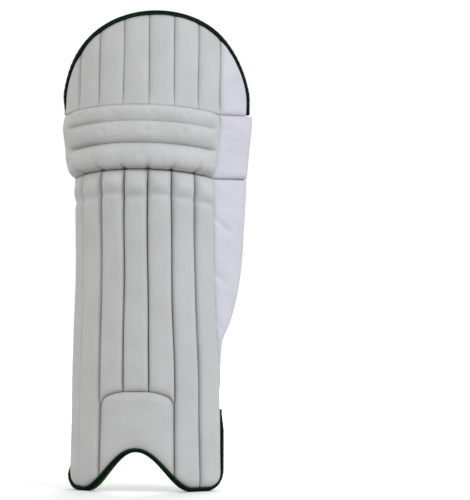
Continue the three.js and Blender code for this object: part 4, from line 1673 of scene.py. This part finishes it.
@dataclass
class Inside:
    """Linings laid on the back of the padding and the soft mesh bolsters between them."""

    middle: float = 0.25
    knee: tuple[float, float] = (452, 1.5)
    calf: tuple[float, float] = (128, 449)
    half_gap: float = 0.86
    plain_far: float = 2.61
    wing_far: float = 3.12
    foot_half: float = 1.4
    thin: float = 5.0
    wing_thin: float = 4.0
    knee_crown: float = 21.0
    calf_crown: float = 21.0
    bolster_section: tuple[float, float] = (2.3, 2.0)
    ragged: float = 2.5
    puff_cap: float = 3.5
    sewn_steps: int = 3
    thigh_pressure: float = 12.0
    knee_pressure: float = 20.0
    lobe_pressure: float = 30.0
    bolster_pressure: float = 60.0
    finishes: dict[Slot, Finish] = field(default_factory=lambda: {
        Slot.CLOTH: FINISHES.cloth, Slot.MESH: FINISHES.mesh, Slot.LINING: FINISHES.lining})

    def panels(self) -> list[Lining]:
        """Lists every lining and bolster."""
        low, half = self.knee
        knee_plain, knee_wing = self.middle - half, self.middle + half
        plain_near, wing_near = self.middle - self.half_gap, self.middle + self.half_gap
        foot_plain, foot_wing = OUTLINE.foot_lining_ends
        ripple = Ripple(90, 40)
        wing_top = OUTLINE.roll_line(OUTLINE.rolls[-1])
        knee = {"bottom": level(low), "top": wing_top}
        calf = {"bottom": level(self.calf[0]), "top": level(self.calf[1]), "thickness": self.thin, "rows": 90}
        foot = {"bottom": OUTLINE.foot_lining_top, "top": level(self.calf[0] - 2 * SEAM_GAP)}
        lobe = {**foot, "slot": Slot.CLOTH, "thickness": 2 * self.thin, "edge": 0.4, "waves": 1.8,
                "pressure": self.lobe_pressure, "fill": 0.7}
        stuffed = {"slot": Slot.MESH, "edge": 0.25, "fill": 0.9, "pressure": self.bolster_pressure,
                   "waves": 0.7}
        knee_bolster = {**knee, **stuffed, "thickness": self.knee_crown}
        calf_bolster = {
            **calf, **stuffed, "thickness": self.calf_crown,
            "bottom": lambda ribs: self.calf[0] + self.ragged * (1 + ripple(WAVE_RIB * ribs, 0.0))}
        return [
            Lining("thigh_lining", Slot.LINING, *OUTLINE.lining_ends, bottom=above(wing_top, 2 * SEAM_GAP),
                   top=OUTLINE.flap_lining_top, thickness=self.thin, columns=70,
                   pressure=self.thigh_pressure),
            Lining("knee_lining", Slot.CLOTH, knee_plain, knee_wing, **knee, thickness=self.thin,
                   pressure=self.knee_pressure),
            Lining("knee_bolster_plain", left=-HALF_FACE, right=knee_plain, **knee_bolster),
            Lining("knee_bolster_wing", left=knee_wing, right=HALF_FACE, **knee_bolster),
            Lining("shin_lining", Slot.LINING, plain_near, wing_near, **calf),
            Lining("calf_bolster_plain", left=-self.plain_far, right=plain_near, **calf_bolster),
            Lining("calf_bolster_wing", left=wing_near, right=self.wing_far, **calf_bolster),
            Lining("side_lining_plain", Slot.CLOTH, -HALF_FACE, -self.plain_far, **calf),
            Lining("side_lining_wing", Slot.CLOTH, self.wing_far, HALF_FACE, **calf),
            Lining("wing_lining", Slot.CLOTH, HALF_FACE, OUTLINE.wing_tip, level(OUTLINE.wing_low), wing_top,
                   self.wing_thin, rows=90),
            Lining("foot_lining_middle", Slot.CLOTH, -self.foot_half, self.foot_half, **foot,
                   thickness=self.thin, waves=1.2),
            Lining("foot_lining_plain", left=foot_plain, right=-self.foot_half, **lobe),
            Lining("foot_lining_wing", left=self.foot_half, right=foot_wing, **lobe),
        ]

    def make(self, lining: Lining, seed: int) -> None:
        """Makes one lining or bolster and swells it.

        Args:
            lining: Its place and stuffing.
            seed: Start of its ripples.
        """
        panel = Panel(lining.left, lining.right, lining.bottom, lining.top, graded(lining.columns, 0.6),
                      graded(lining.rows, 0.5))
        ripple, folds = Ripple(seed, 34), Ripple(seed + 50, 9)
        soft = lining.slot is Slot.MESH

        def front(u: Array, v: Array, ribs: Array, s: Array, z: Array) -> Array:
            """The side that lies on the padding."""
            return np.full_like(s, -LAYER_GAP)

        def back(u: Array, v: Array, ribs: Array, s: Array, z: Array) -> Array:
            """The side towards the leg."""
            ends = rounded(from_edges(z, 0), lining.edge_round)
            side = bulge(u, *self.bolster_section) if soft else rounded(from_edges(s, 1), lining.edge_round)
            waves = lining.waves * (ripple(s, z) * side * ends + 0.4 * folds(s, z) * (1 - side * ends))
            full = lining.thickness * (lining.edge + (1 - lining.edge) * side * ends)
            return -LAYER_GAP - np.maximum(full + waves, 1.0)

        piece = panel.make(f"{lining.node}_cover", self.finishes[lining.slot], front, back)
        if lining.pressure:
            near_edge = np.minimum(np.minimum(panel.us, 1 - panel.us)[None, :] * lining.columns,
                                   np.minimum(panel.vs, 1 - panel.vs)[:, None] * lining.rows)
            loose = np.clip(near_edge / self.sewn_steps, 0, 1).ravel()
            Puff(lining.pressure, self.puff_cap).run(piece, np.r_[np.ones_like(loose), 1 - loose])
        dress(piece, [lining.node])

    def build(self) -> None:
        """Makes every lining and bolster."""
        for number, lining in enumerate(self.panels()):
            self.make(lining, 100 + number)


# Fastenings


def bezier(*corners: Sequence[float], steps: int = 16) -> Array:
    """Points of a Bezier curve through its corner points, without its first point."""
    points = np.array(corners, float)[:, None, :]
    t = np.linspace(0, 1, steps + 1)[1:, None]
    while len(points) > 1:
        points = points[:-1] * (1 - t) + points[1:] * t
    return points[0]


def straight(start: Sequence[float], end: Sequence[float], pitch: float = 3.0) -> Array:
    """Points along a straight line, without its first point."""
    steps = max(int(np.linalg.norm(np.subtract(end, start)) / pitch), 1)
    return bezier(start, end, steps=steps)


@dataclass(frozen=True)
class Patch:
    """A plain woven patch sewn on a strap: from and to, from the bar, its half height and its slant."""

    start: float
    end: float
    half_height: float
    slant: float


@dataclass(frozen=True)
class StrapSize:
    """One fastening: sizes of its webbing, where it is sewn in, its stripes and its sewing."""

    name: str
    z: float
    width: float
    tilt: float
    lap: float
    tab: float
    tab_inset: float
    tab_depth: float
    anchor_depth: float
    beyond: float
    stripes: tuple[Stripe, ...]
    columns: tuple[float, ...]
    tab_columns: tuple[float, ...]
    patch: Optional[Patch] = None


def stripes_from_top(*bands: tuple[float, Colour]) -> tuple[Stripe, ...]:
    """Turns bands, each given by the share from the top edge where it ends, into stripes from below."""
    return tuple(Stripe(1 - end, colour) for end, colour in reversed(bands))


LOOP_STRIPES = stripes_from_top((0.40, WHITE), (0.72, GREY_LOOP), (1.0, WHITE))

STRAPS = (
    StrapSize("knee", z=483, width=36, tilt=-0.02, lap=184, tab=9, tab_inset=0, tab_depth=12.6,
              anchor_depth=8.2, beyond=56, columns=(27, 178), tab_columns=(7,), stripes=stripes_from_top(
                  (0.08, WHITE), (0.18, PALE_LIME), (0.22, LIME_LINE), (0.28, PALE_LIME), (0.30, WHITE),
                  (0.56, NAVY), (0.73, WHITE), (0.75, GREY_LOOP), (1.0, WHITE))),
    StrapSize("calf", z=361, width=52, tilt=0.006, lap=176, tab=8, tab_inset=-2, tab_depth=5.6,
              anchor_depth=6.4, beyond=50, columns=(42, 171), tab_columns=(6,), stripes=stripes_from_top(
                  (0.27, WHITE), (0.38, LIME_LINE), (0.42, WHITE), (0.74, NAVY), (1.0, WHITE)),
              patch=Patch(start=94, end=166, half_height=17, slant=9)),
    StrapSize("ankle", z=178, width=52, tilt=0.045, lap=122, tab=14, tab_inset=0, tab_depth=6.4,
              anchor_depth=7.6, beyond=3, columns=(6, 117), tab_columns=(11,), stripes=stripes_from_top(
                  (0.23, WHITE), (0.34, LIME_LINE), (0.40, WHITE), (0.72, NAVY), (1.0, WHITE))),
)


@dataclass
class Fastening:
    """A tab sewn in at the plain edge, the ring that it holds, and the strap that laps back through it."""

    size: StrapSize
    thickness: float = 2.0
    fold: float = 0.6
    ring_width: float = 20.0
    ring_bar: float = 4.0
    ring_overhang: float = 4.8
    ring_corner: float = 5.0
    ring_squareness: float = 0.7
    anchor_length: float = 14.0
    anchor_turn: float = 6.5
    edge_round: float = 0.9
    ripple: float = 0.45
    ripple_stretch: float = 0.6
    ripple_fade: float = 20.0
    stitch_margin: float = 2.5
    tab_draw: float = 0.9

    def __post_init__(self) -> None:
        """Finds the strap's line across the back of the pad."""
        size = self.size
        plain, edge = SURFACE.across(np.array([-HALF_FACE, HALF_FACE]), np.array(size.z))
        root, start, end = (SURFACE.at(s, size.z, -depth)[:2] for s, depth in (
            (plain + size.tab_inset, size.tab_depth),
            (edge + size.beyond - self.anchor_length, size.anchor_depth),
            (edge + size.beyond, size.anchor_depth)))
        way = (end - root) / np.linalg.norm(end - root)
        self.spacing = self.ring_width - self.ring_bar
        centre = root + way * (size.tab + self.spacing / 2)
        self.lie = (self.thickness + self.fold) / 2
        self.wrap = self.ring_bar * math.sqrt(0.5) + self.fold + self.thickness / 2
        turn = np.array([[way[0], way[1]], [-way[1], way[0]]])
        self.anchor = [turn @ (point - centre) - np.array([self.spacing / 2, 0]) for point in (start, end)]
        cosine, sine = math.cos(size.tilt), math.sin(size.tilt)
        about_z = np.array([[way[0], -way[1], 0], [way[1], way[0], 0], [0, 0, 1]])
        self.turn = about_z @ np.array([[cosine, 0, sine], [0, 1, 0], [-sine, 0, cosine]])
        self.centre = np.array([centre[0], centre[1], size.z])

    def sway(self, along: Array, height: Array) -> Array:
        """How far the webbing ripples out of its plane at some places along and up it."""
        return self.ripple * Ripple(7, 60)(along, height * self.ripple_stretch)

    def put(self, points: Array, shift: float = 0.0, sign: int = 1) -> Array:
        """Brings points from beside a bar into the pad's frame; sign -1 is the tab's side."""
        local = points * np.array([sign, sign, 1]) + np.array([shift, 0, 0])
        return local @ self.turn.T + self.centre

    def round_bar(self, draw: float, lap: float) -> tuple[Array, Array]:
        """The webbing's line from where it draws in, round the bar and out along the lap, in two parts.

        Args:
            draw: Where it draws in, from the bar.
            lap: Where its lap ends, from the bar.

        Returns:
            The line up to the bar's far side and the line from there on.
        """
        arc = np.linspace(-np.pi / 2, -1.5 * np.pi, 25)[1:]
        lie, wrap = self.lie, self.wrap
        inward = np.concatenate([bezier((draw, -lie), (0.6 * draw, -lie), (0.4 * draw, -wrap), (0, -wrap)),
                                 wrap * np.stack([np.cos(arc), np.sin(arc)], -1)])
        outward = np.concatenate([bezier((0, wrap), (0.4 * draw, wrap), (0.6 * draw, lie), (draw, lie)),
                                  straight((draw, lie), (lap, lie))])
        return inward, outward

    def webbing(self, name: str, line: Array, finishes: Sequence[Finish], laps_from: int, shift: float,
                sign: int) -> None:
        """Makes a strip of webbing along a line.

        Args:
            name: The solid that it stands for.
            line: Its middle line, seen from above.
            finishes: Those of its first part and of its lap.
            laps_from: Point of the line where the lap begins.
            shift: Place of the bar along the fastening.
            sign: 1 for the strap, -1 for the tab.
        """
        way = np.gradient(line, axis=0)
        way /= np.linalg.norm(way, axis=1, keepdims=True)
        normal = np.stack([-way[:, 1], way[:, 0]], -1)
        run = run_length(line)
        half = self.size.width / 2
        up = (2 * graded(22, 0.85) - 1) * half
        thick = self.thickness / 2 * np.maximum(rounded(half - np.abs(up), self.edge_round), 0.15)
        across, height = np.r_[thick, -thick[::-1]], np.r_[up, up[::-1]]
        sway = self.sway(line[:, :1], height[None, :])
        free = ease((line[:, :1] - self.ring_width) / self.ripple_fade)
        plan = line[:, None] + normal[:, None] * across[None, :, None]
        plan[..., 1] += free * sway
        rings = np.concatenate([plan, np.broadcast_to(height, plan.shape[:2])[..., None]], -1)
        uv = np.stack(np.broadcast_arrays(run[:, None], height), -1)
        # The crease value paints shade towards the webbing's edges.
        crease = np.broadcast_to(np.exp(-(half - np.abs(height)) / 1.2), plan.shape[:2])
        materials = (np.arange(len(line) - 1) >= laps_from).astype(int) * (len(finishes) - 1)
        mesher = Mesher()
        mesher.add_tube(Grid(self.put(rings, shift, sign), uv, crease), flip=True, materials=materials)
        dress(mesher.make(f"{name}_webbing", finishes), [name])

    def build_ring(self) -> None:
        """Makes the ring, a rounded bar bent to a rounded rectangle."""
        radius = self.ring_corner - self.ring_bar / 2
        tall = self.size.width + 2 * self.ring_overhang
        wide, high = (self.ring_width - self.ring_bar) / 2 - radius, (tall - self.ring_bar) / 2 - radius
        middle, out = [], []
        for number, (side, top) in enumerate(((1, 1), (-1, 1), (-1, -1), (1, -1))):
            angle = np.linspace(0, np.pi / 2, 12) + number * np.pi / 2
            way = np.stack([np.cos(angle), np.sin(angle)], -1)
            middle.append(np.array([side * wide, top * high]) + radius * way)
            out.append(way)
        middle, out = np.concatenate(middle), np.concatenate(out)
        turn = np.linspace(0, 2 * np.pi, 20, endpoint=False)
        bar = self.ring_bar / 2
        flat, deep = (bar * signed_power(f(turn), self.ring_squareness) for f in (np.cos, np.sin))
        plan = middle[:, None] + out[:, None] * flat[None, :, None]
        rings = np.stack([plan[..., 0], np.broadcast_to(deep, plan.shape[:2]), plan[..., 1]], -1)
        run = run_length(middle)
        uv = np.stack(np.broadcast_arrays(run[:, None], turn * bar), -1)
        mesher = Mesher()
        mesher.add_tube(Grid(self.put(rings), uv, np.zeros(plan.shape[:2])), closed=True)
        name = f"{self.size.name}_ring"
        dress(mesher.make(f"{name}_moulded", [FINISHES.plastic]), [name])

    def build_patch(self, patch: Patch) -> None:
        """Makes the plain patch on the strap's lap.

        Args:
            patch: The patch's sizes.
        """
        u, v = np.meshgrid(graded(30, 0.5), graded(16, 0.6))
        height = patch.half_height * (2 * v - 1)
        along = patch.start + (patch.end - patch.start + patch.slant * (2 * v - 1)) * u
        across = np.minimum(u, 1 - u) * (patch.end - patch.start)
        edge = np.minimum(across, patch.half_height - np.abs(height))
        rise = 0.1 + 0.6 * rounded(edge, 0.8)
        top = self.lie + self.thickness / 2 + self.sway(along, height)
        uv = np.stack([along, height], -1)
        # The crease value paints shade towards the patch's edges.
        faces = [Grid(self.put(np.stack([along, top + rise * side, height], -1), self.spacing / 2), uv,
                      np.exp(-edge / 1.5)) for side in (1, -0.3)]
        mesher = Mesher()
        mesher.add_quilt(*faces[::-1])
        dress(mesher.make(f"{self.size.name}_patch", [FINISHES.patch]))

    def sew(self) -> None:
        """Sews the columns of stitches on the lap and on the tab."""
        stitcher = Stitcher(pitch=3.0, length=2.3, radius=0.42)
        reach = self.size.width / 2 - self.stitch_margin
        height = np.linspace(-reach, reach, 40)
        for places, shift, sign in ((self.size.columns, self.spacing / 2, 1),
                                    (self.size.tab_columns, -self.spacing / 2, -1)):
            for place in places:
                low = self.ring_width if sign == 1 else self.tab_draw * self.size.tab
                lift = self.lie if place >= low else self.lie + (self.wrap - self.lie) * ease(1 - place / low)
                free = ease((place - self.ring_width) / self.ripple_fade)
                y = (lift + self.thickness / 2 + self.sway(np.full_like(height, place), height) * free) * sign
                line = np.stack([np.full_like(height, place), np.broadcast_to(y, height.shape), height], -1)
                outward = np.tile(self.turn @ np.array([0.0, 1.0, 0.0]), (len(height), 1))
                stitcher.sew(self.put(line, shift, sign), outward)
        stitcher.make(f"{self.size.name}_stitches", FINISHES.white_thread, Slot.WEBBING)

    def build(self) -> None:
        """Makes the strap, the ring, the tab and their sewing."""
        size = self.size
        lap = WebbingFinish(f"{size.name}_webbing_lap", WHITE, size.stripes, size.width)
        base = WebbingFinish(f"{size.name}_webbing_base", WHITE, LOOP_STRIPES, size.width)
        start, end = self.anchor
        bend = end + self.anchor_turn / self.anchor_length * (start - end)
        turned = (end[0] - 2 * self.anchor_turn, -self.lie)
        inward, outward = self.round_bar(self.ring_width, size.lap)
        line = np.concatenate([start[None], straight(start, bend), bezier(bend, end, turned),
                               straight(turned, (self.ring_width, -self.lie)), inward, outward])
        self.webbing(f"{size.name}_strap", line, [base, lap], len(line) - len(outward) - len(inward) // 2,
                     self.spacing / 2, 1)
        draw = self.tab_draw * size.tab
        inward, outward = self.round_bar(draw, size.tab)
        line = np.concatenate([[(size.tab, -self.lie), (draw, -self.lie)], inward, outward])
        self.webbing(f"{size.name}_tab", line, [lap], 0, -self.spacing / 2, -1)
        self.build_ring()
        if size.patch:
            self.build_patch(size.patch)
        self.sew()


# Stage


@dataclass(frozen=True)
class SoftLight:
    """A square area light: its place, side and power, whether it shines straight down, and its colour."""

    name: str
    place: tuple[float, float, float]
    size: float
    power: float
    down: bool = False
    tint: Colour = paint(255, 255, 255)


@dataclass
class Stage:
    """Camera, pale floor and soft light, in metres."""

    azimuth: float = 7.0
    distance: float = 4.0
    frame_height: float = 0.716
    sensor: float = 36.0
    axis: tuple[float, float, float] = (-0.0190, -0.0372, 0.3464)
    aside: float = 0.1407
    floor_size: float = 14.0
    floor_colour: Colour = paint(252, 252, 252)
    floor_bounce: Colour = paint(180, 180, 180)
    sky_shown: float = 1.0
    sky_light: float = 0.63
    lights: tuple[SoftLight, ...] = (
        SoftLight("key", (2.3, -1.4, 1.9), 1.2, 34, tint=paint(243, 246, 255)),
        SoftLight("fill", (-2.2, -1.8, 1.2), 1.8, 9),
        SoftLight("back", (0.2, 2.4, 1.8), 1.6, 29),
        SoftLight("far_floor_light", (0.0, 5.2, 2.8), 5.5, 95, down=True),
        SoftLight("near_floor_light", (0.0, -6.5, 2.8), 5.5, 75, down=True),
        SoftLight("plain_floor_light", (-6.2, 0.0, 2.8), 5.5, 75, down=True),
        SoftLight("wing_floor_light", (6.2, 0.0, 2.8), 5.5, 75, down=True),
    )

    def build_camera(self) -> None:
        """Places the camera as the photograph's was."""
        turn = math.radians(self.azimuth)
        right = Vector((math.cos(turn), math.sin(turn), 0))
        back = Vector((math.sin(turn), -math.cos(turn), 0))
        data = bpy.data.cameras.new("camera")
        data.sensor_width = self.sensor
        data.lens = self.sensor * self.distance / self.frame_height
        camera = link("camera", data)
        camera.location = Vector(self.axis) + self.aside * right + self.distance * back
        camera.rotation_euler = back.to_track_quat("Z", "Y").to_euler()
        bpy.context.scene.camera = camera

    def build_floor(self) -> None:
        """Lays the floor."""
        half = self.floor_size / 2
        mesh = bpy.data.meshes.new("floor")
        corners = [(-half, -half, 0), (half, -half, 0), (half, half, 0), (-half, half, 0)]
        mesh.from_pydata(corners, [], [(0, 1, 2, 3)])
        material = bpy.data.materials.new("floor")
        material.use_nodes = True
        tree = Tree(material.node_tree)
        shader = material.node_tree.nodes["Principled BSDF"]
        seen = tree.add("ShaderNodeLightPath").outputs["Is Camera Ray"]
        tree.put(shader.inputs["Base Color"], tree.mix(seen, self.floor_bounce, self.floor_colour))
        shader.inputs["Roughness"].default_value = 0.9
        mesh.materials.append(material)
        link("floor", mesh)

    def build_lights(self) -> None:
        """Hangs the lights, each aimed at the middle of the pad."""
        for light in self.lights:
            data = bpy.data.lights.new(light.name, "AREA")
            data.size, data.energy, data.color = light.size, light.power, light.tint[:3]
            lamp = link(light.name, data)
            lamp.location = light.place
            aim = Vector((0, 0, 1)) if light.down else Vector(light.place) - Vector(self.axis)
            lamp.rotation_euler = aim.to_track_quat("Z", "Y").to_euler()

    def build_world(self) -> None:
        """Makes a plain white surround that lights the pad less than it shows."""
        world = bpy.data.worlds.new("studio")
        world.use_nodes = True
        tree = Tree(world.node_tree)
        seen = tree.add("ShaderNodeLightPath").outputs["Is Camera Ray"]
        strength = tree.span(seen, 0.0, 1.0, self.sky_light, self.sky_shown)
        background = world.node_tree.nodes["Background"]
        background.inputs["Color"].default_value = (1.0, 1.0, 1.0, 1.0)
        tree.put(background.inputs["Strength"], strength)
        bpy.context.scene.world = world

    def build(self) -> None:
        """Makes the stage."""
        self.build_camera()
        self.build_floor()
        self.build_lights()
        self.build_world()
        bpy.context.scene.view_settings.view_transform = "Standard"


def main() -> None:
    """Builds every piece in order and notes the size."""
    logging.basicConfig(level=logging.INFO, format="%(message)s")
    RibbedFront().build()
    KneeRoll().build()
    Wing().build()
    Bindings().build()
    Inside().build()
    for size in STRAPS:
        Fastening(size).build()
    Stage().build()


if __name__ == "__main__":
    main()
